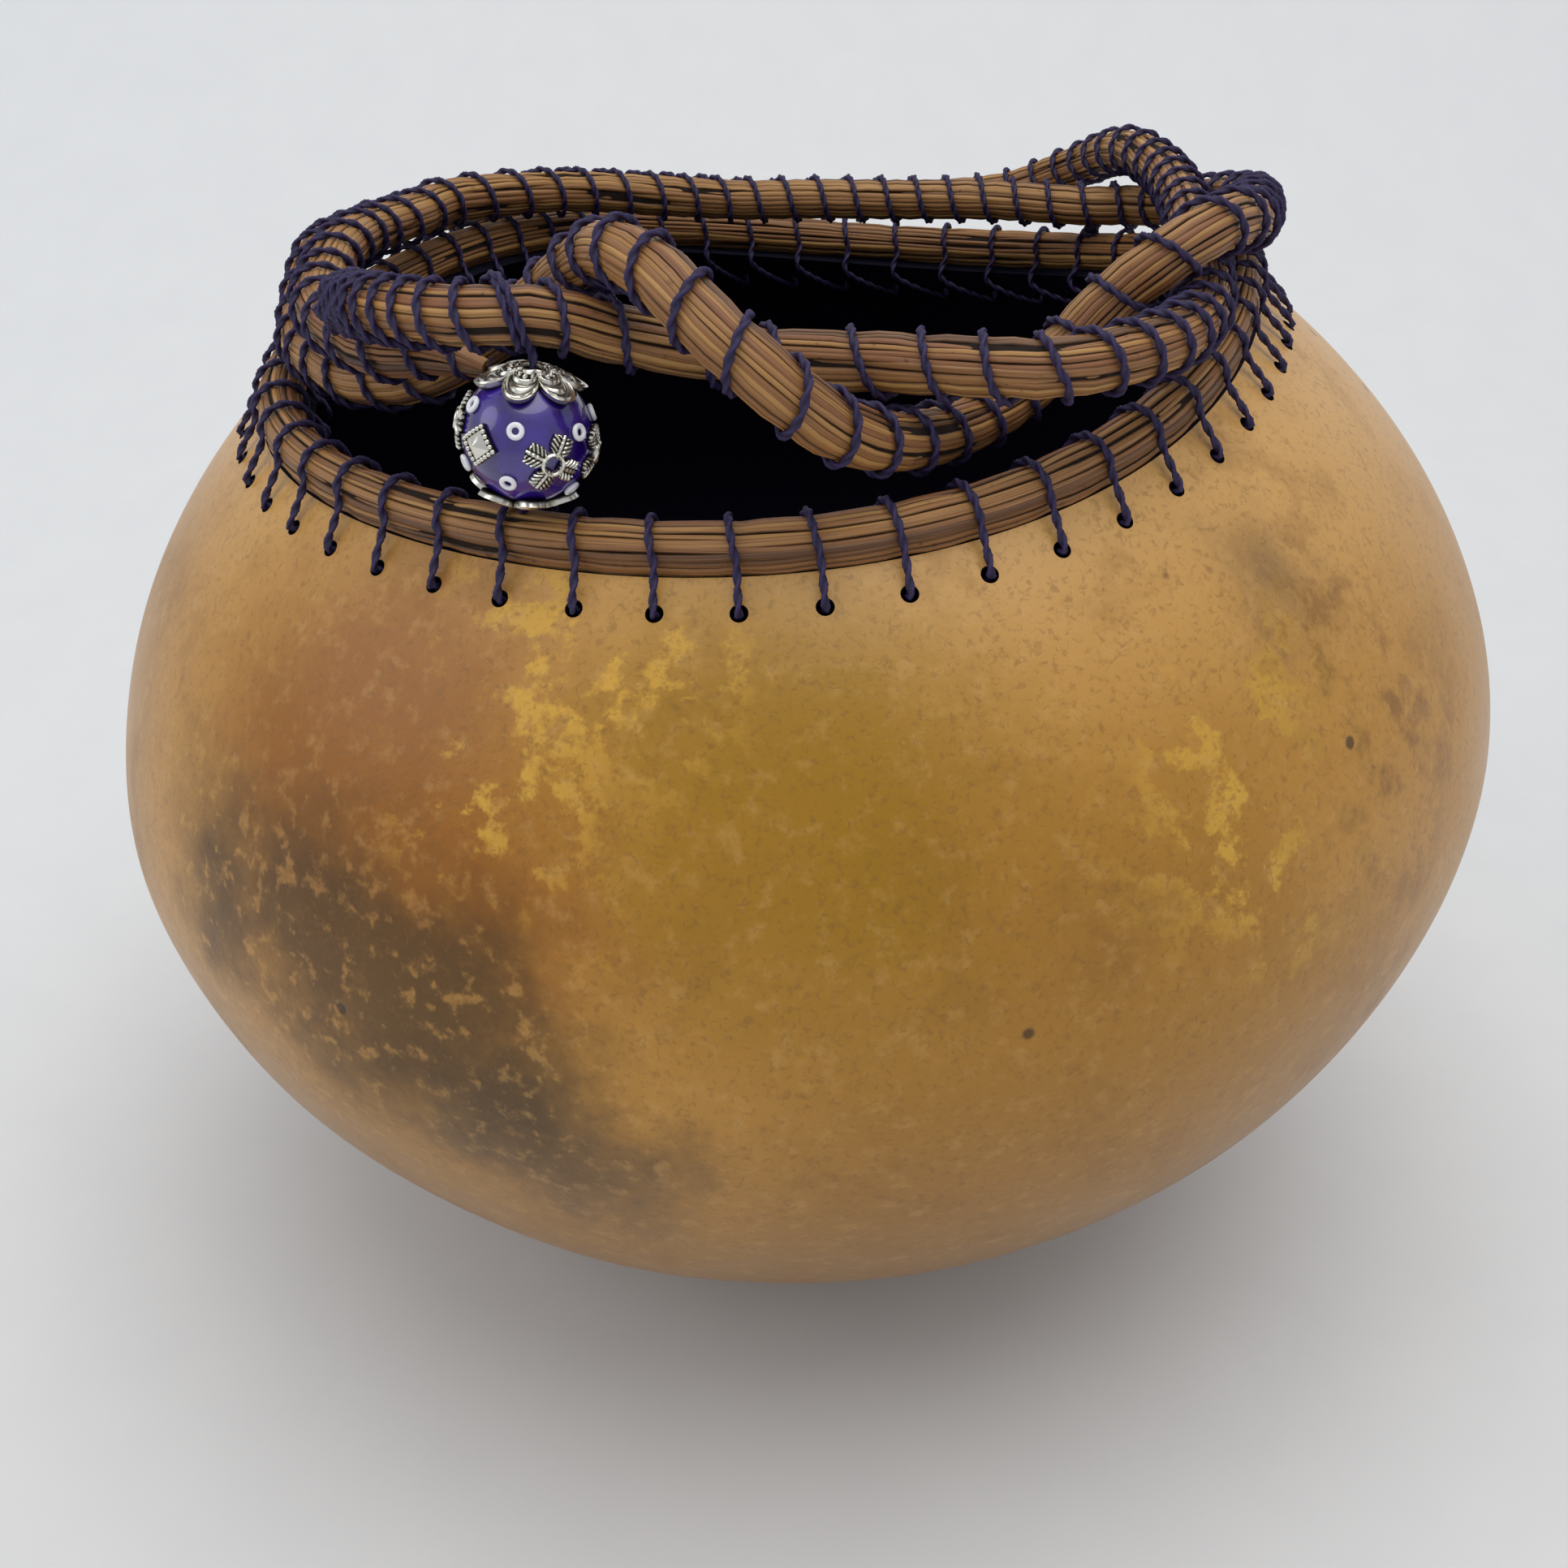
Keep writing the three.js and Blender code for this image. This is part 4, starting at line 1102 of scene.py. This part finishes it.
class Pieces:
    """Small shells that are gathered up to make one object."""

    def __init__(self):
        self.vertices, self.faces, self.worn = [], [], []

    def add(self, vertices, faces, worn=None):
        start = len(self.vertices)
        self.vertices += vertices
        self.faces += [tuple(start + k for k in face) for face in faces]
        self.worn += worn or [1.0] * len(vertices)

    def make(self, name, material, smooth_angle):
        made = new_object(name, self.vertices, self.faces, smooth_angle)
        turn_faces_out(made.data)
        keep_numbers(made.data, "worn", self.worn)
        made.data.materials.append(material)
        return made


def milk_glass_finish():
    material, sheet, shader, place = new_finish("milk_glass", Coat_Weight=0.6, Coat_Roughness=0.05)
    smoke = sheet.noise(place, 700.0, 2.0)["Fac"]
    colour = sheet.mix(smoke, paint("e9e9f0"), paint("fbfbff"))
    feed(sheet, shader, Base_Color=colour, Roughness=0.18 + smoke * 0.1)
    return material


ringlets = Pieces()
for turn, height in RINGLET_PLACES:
    points, faces = ring_points(RINGLET_RADIUS, RINGLET_TUBE, RINGLET_TUBE)
    ringlets.add(press(points, turn, height), faces)
ringlets = ringlets.make("seed_beads", milk_glass_finish(), math.radians(60))
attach(ringlets, "root")
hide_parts(*[f"bead_ringlet_{k + 1}" for k in range(len(RINGLET_PLACES))])


# Silver studs
# Two small square castings, a pyramid inside a border of beading.
STUD_PLACES = [(-127, 3, 42), (62, 6, 10)]
STUD_HALF = 0.00165
STUD_BEADS = 6
STUD_BEAD_RADIUS = 0.00027
STUD_PLATE = 0.00042
STUD_SEAT = 0.00052
STUD_TOP = 0.00118


def ball(x, y, z, radius, around=12, rows=6):
    """A small ball, as points and faces."""
    points = [(x, y, z - radius)]
    for row in range(1, rows):
        angle = math.pi * row / rows
        flat, low = radius * math.sin(angle), z - radius * math.cos(angle)
        for k in range(around):
            turn = 2 * math.pi * k / around
            points.append((x + flat * math.cos(turn), y + flat * math.sin(turn), low))
    points.append((x, y, z + radius))
    last = len(points) - 1
    faces = [(0, 1 + (k + 1) % around, 1 + k) for k in range(around)]
    faces += ring_faces(rows - 1, around, start=1)
    top = last - around
    faces += [(top + k, top + (k + 1) % around, last) for k in range(around)]
    return points, faces


def slab(outline, heights):
    """A stack of the same outline, each with its own size and height, closed at both ends."""
    points = [(x * size, y * size, z) for size, z in heights for x, y in outline]
    wide = len(outline)
    faces = ring_faces(len(heights), wide)
    faces += [tuple(reversed(range(wide))), tuple(range(len(points) - wide, len(points)))]
    return points, faces


square = [(-1, -1), (1, -1), (1, 1), (-1, 1)]
fine_square = [((1 - t) * a[0] + t * b[0], (1 - t) * a[1] + t * b[1])
               for a, b in zip(square, square[1:] + square[:1]) for t in (0, 0.25, 0.5, 0.75)]
for number, (turn, height, spin) in enumerate(STUD_PLACES, 1):
    stud = Pieces()
    plate, faces = slab(fine_square, [(STUD_HALF, 0), (STUD_HALF, STUD_PLATE),
                                      (STUD_HALF * 0.97, STUD_PLATE + 0.00006)])
    stud.add(press(plate, turn, height, spin), faces, [0.0] * len(plate))
    inner = STUD_HALF - 2.1 * STUD_BEAD_RADIUS
    pyramid, faces = slab(fine_square, [(inner, STUD_PLATE - 0.00012), (inner, STUD_SEAT),
                                        (0.00003, STUD_TOP)])
    stud.add(press(pyramid, turn, height, spin), faces)
    spacing = 2 * (STUD_HALF - STUD_BEAD_RADIUS) / (STUD_BEADS - 1)
    for k in range(STUD_BEADS):
        for j in range(STUD_BEADS):
            if k in (0, STUD_BEADS - 1) or j in (0, STUD_BEADS - 1):
                x, y = (STUD_BEAD_RADIUS - STUD_HALF + spacing * n for n in (k, j))
                points, faces = ball(x, y, STUD_SEAT, STUD_BEAD_RADIUS)
                stud.add(press(points, turn, height, spin), faces)
    stud = stud.make(f"stud_{number}", silver, math.radians(35))
    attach(stud, "root")
    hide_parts(f"bead_stud_{number}")


# Silver flowers
# Three cast flowers, each of four veined leaves round a ring.
FLOWER_PLACES = [(-62, -3, -25), (178, 6, 12), (-2, -6, 30)]
LEAF_START = 0.0007
LEAF_END = 0.0033
LEAF_HALF_WIDTH = 0.00118
LEAF_BED = 0.0004
LEAF_RIDGE = 0.00024
LEAF_EDGE_DROP = 0.00012
LEAF_CORNER_CUT = 0.0003
LEAF_VEINS = 5.2
LEAF_VEIN_SLANT = 1.5
LEAF_ROWS = 40
LEAF_COLUMNS = 32
FLOWER_RING_RADIUS = 0.00102
FLOWER_RING_TUBE = 0.00022
FLOWER_RING_RISE = 0.00042


def leaf():
    """One veined leaf that points along x, as points, faces and how worn each point is."""
    top, worn = [], []
    for row in range(LEAF_ROWS):
        share = row / (LEAF_ROWS - 1)
        swell = 0.42 + 0.58 * math.sin(min(share / 0.5, 1) * math.pi / 2)
        tip = 1 - max(share - 0.82, 0) ** 2 * 8
        half = LEAF_HALF_WIDTH * swell * tip
        for column in range(LEAF_COLUMNS):
            side = 2 * column / (LEAF_COLUMNS - 1) - 1
            x = LEAF_START + (LEAF_END - LEAF_START) * share
            if share > 0.9:
                x -= LEAF_CORNER_CUT * abs(side) * share
            rib = 0.5 + 0.5 * math.cos(2 * math.pi * (LEAF_VEINS * share - LEAF_VEIN_SLANT * abs(side)))
            stem = bump_at(side, 0.0, 0.13)
            edge = max(bump_at(abs(side), 1.0, 0.12), bump_at(share, 1.0, 0.05))
            ridge = max(rib * (1 - 0.9 * bump_at(abs(side), 0.24, 0.1)), stem)
            top.append((x, side * half, LEAF_BED + LEAF_RIDGE * ridge - LEAF_EDGE_DROP * edge))
            worn.append(ridge)
    bottom = [(x, y, 0.0) for x, y, z in top]
    count = len(top)
    faces = []
    for row in range(LEAF_ROWS - 1):
        for column in range(LEAF_COLUMNS - 1):
            a = row * LEAF_COLUMNS + column
            face = (a, a + LEAF_COLUMNS, a + LEAF_COLUMNS + 1, a + 1)
            faces += [face, tuple(count + k for k in reversed(face))]
    grid = np.arange(count).reshape(LEAF_ROWS, LEAF_COLUMNS)
    border = [*grid[0], *grid[1:, -1], *grid[-1, -2::-1], *grid[-2:0:-1, 0]]
    for a, b in zip(border, border[1:] + border[:1]):
        faces.append((int(a), int(b), int(count + b), int(count + a)))
    return top + bottom, faces, worn + [0.0] * count


leaf_points, leaf_faces, leaf_worn = leaf()
for number, (turn, height, spin) in enumerate(FLOWER_PLACES, 1):
    flower = Pieces()
    for petal in range(4):
        flower.add(press(leaf_points, turn, height, spin + 90 * petal), leaf_faces, leaf_worn)
    points, faces = ring_points(FLOWER_RING_RADIUS, FLOWER_RING_TUBE, FLOWER_RING_RISE, 40)
    flower.add(press(points, turn, height), faces)
    flower = flower.make(f"flower_{number}", silver, math.radians(35))
    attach(flower, "root")
    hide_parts(f"bead_flower_{number}")


# Bead tie
# Thread that comes up from inside the mouth, through the bead, and hooks once round the free coil.
TIE_HOOK_START = 235
TIE_HOOK_END = -5
TIE_HOOK_STEP = 20
TIE_HOOK_SPREAD = 0.0082
TIE_CLEARANCE = 0.0005
TIE_TAIL = Vector((0.0025, 0.0062, -0.005))
TIE_BEND = Vector((0.0025, 0.0056, -0.00125))


def bead_tie_points():
    bore = BEAD_TURN @ Vector((0, 0, 1))
    bore_end = BEAD_RADIUS + TIE_CLEARANCE
    foot = BEAD_CENTRE - bore * (bore_end + 2 * THREAD_RADIUS)
    head = BEAD_CENTRE + bore * (bore_end + THREAD_RADIUS)
    hook = LOOP_BUNDLE_RADIUS + THREAD_RADIUS * 1.1
    first_stretch = loop_line[:len(loop_line) // 10]
    nearest = int(np.argmin(np.linalg.norm(first_stretch - np.array(head), axis=1)))
    along = Vector(loop_line[nearest + 1] - loop_line[nearest - 1]).normalized()
    back = Vector((0, 0, 1)).cross(along).normalized()
    up = along.cross(back)
    points = [foot + TIE_TAIL, foot + TIE_BEND, foot, BEAD_CENTRE, head]
    for degrees in range(TIE_HOOK_START, TIE_HOOK_END - 1, -TIE_HOOK_STEP):
        turn = math.radians(degrees)
        middle = Vector(loop_line[nearest]) + along * (TIE_HOOK_SPREAD * (degrees - TIE_HOOK_START) / 360)
        points.append(middle + (back * math.cos(turn) + up * math.sin(turn)) * hook)
    return points


bead_tie = path_object("bead_thread", bead_tie_points())
grow(bead_tie, laid_thread, Thread_Radius=THREAD_RADIUS, Step=THREAD_STEP, Lay=THREAD_LAY, Material=thread)
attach(bead_tie, "root")
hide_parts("bead_tie")
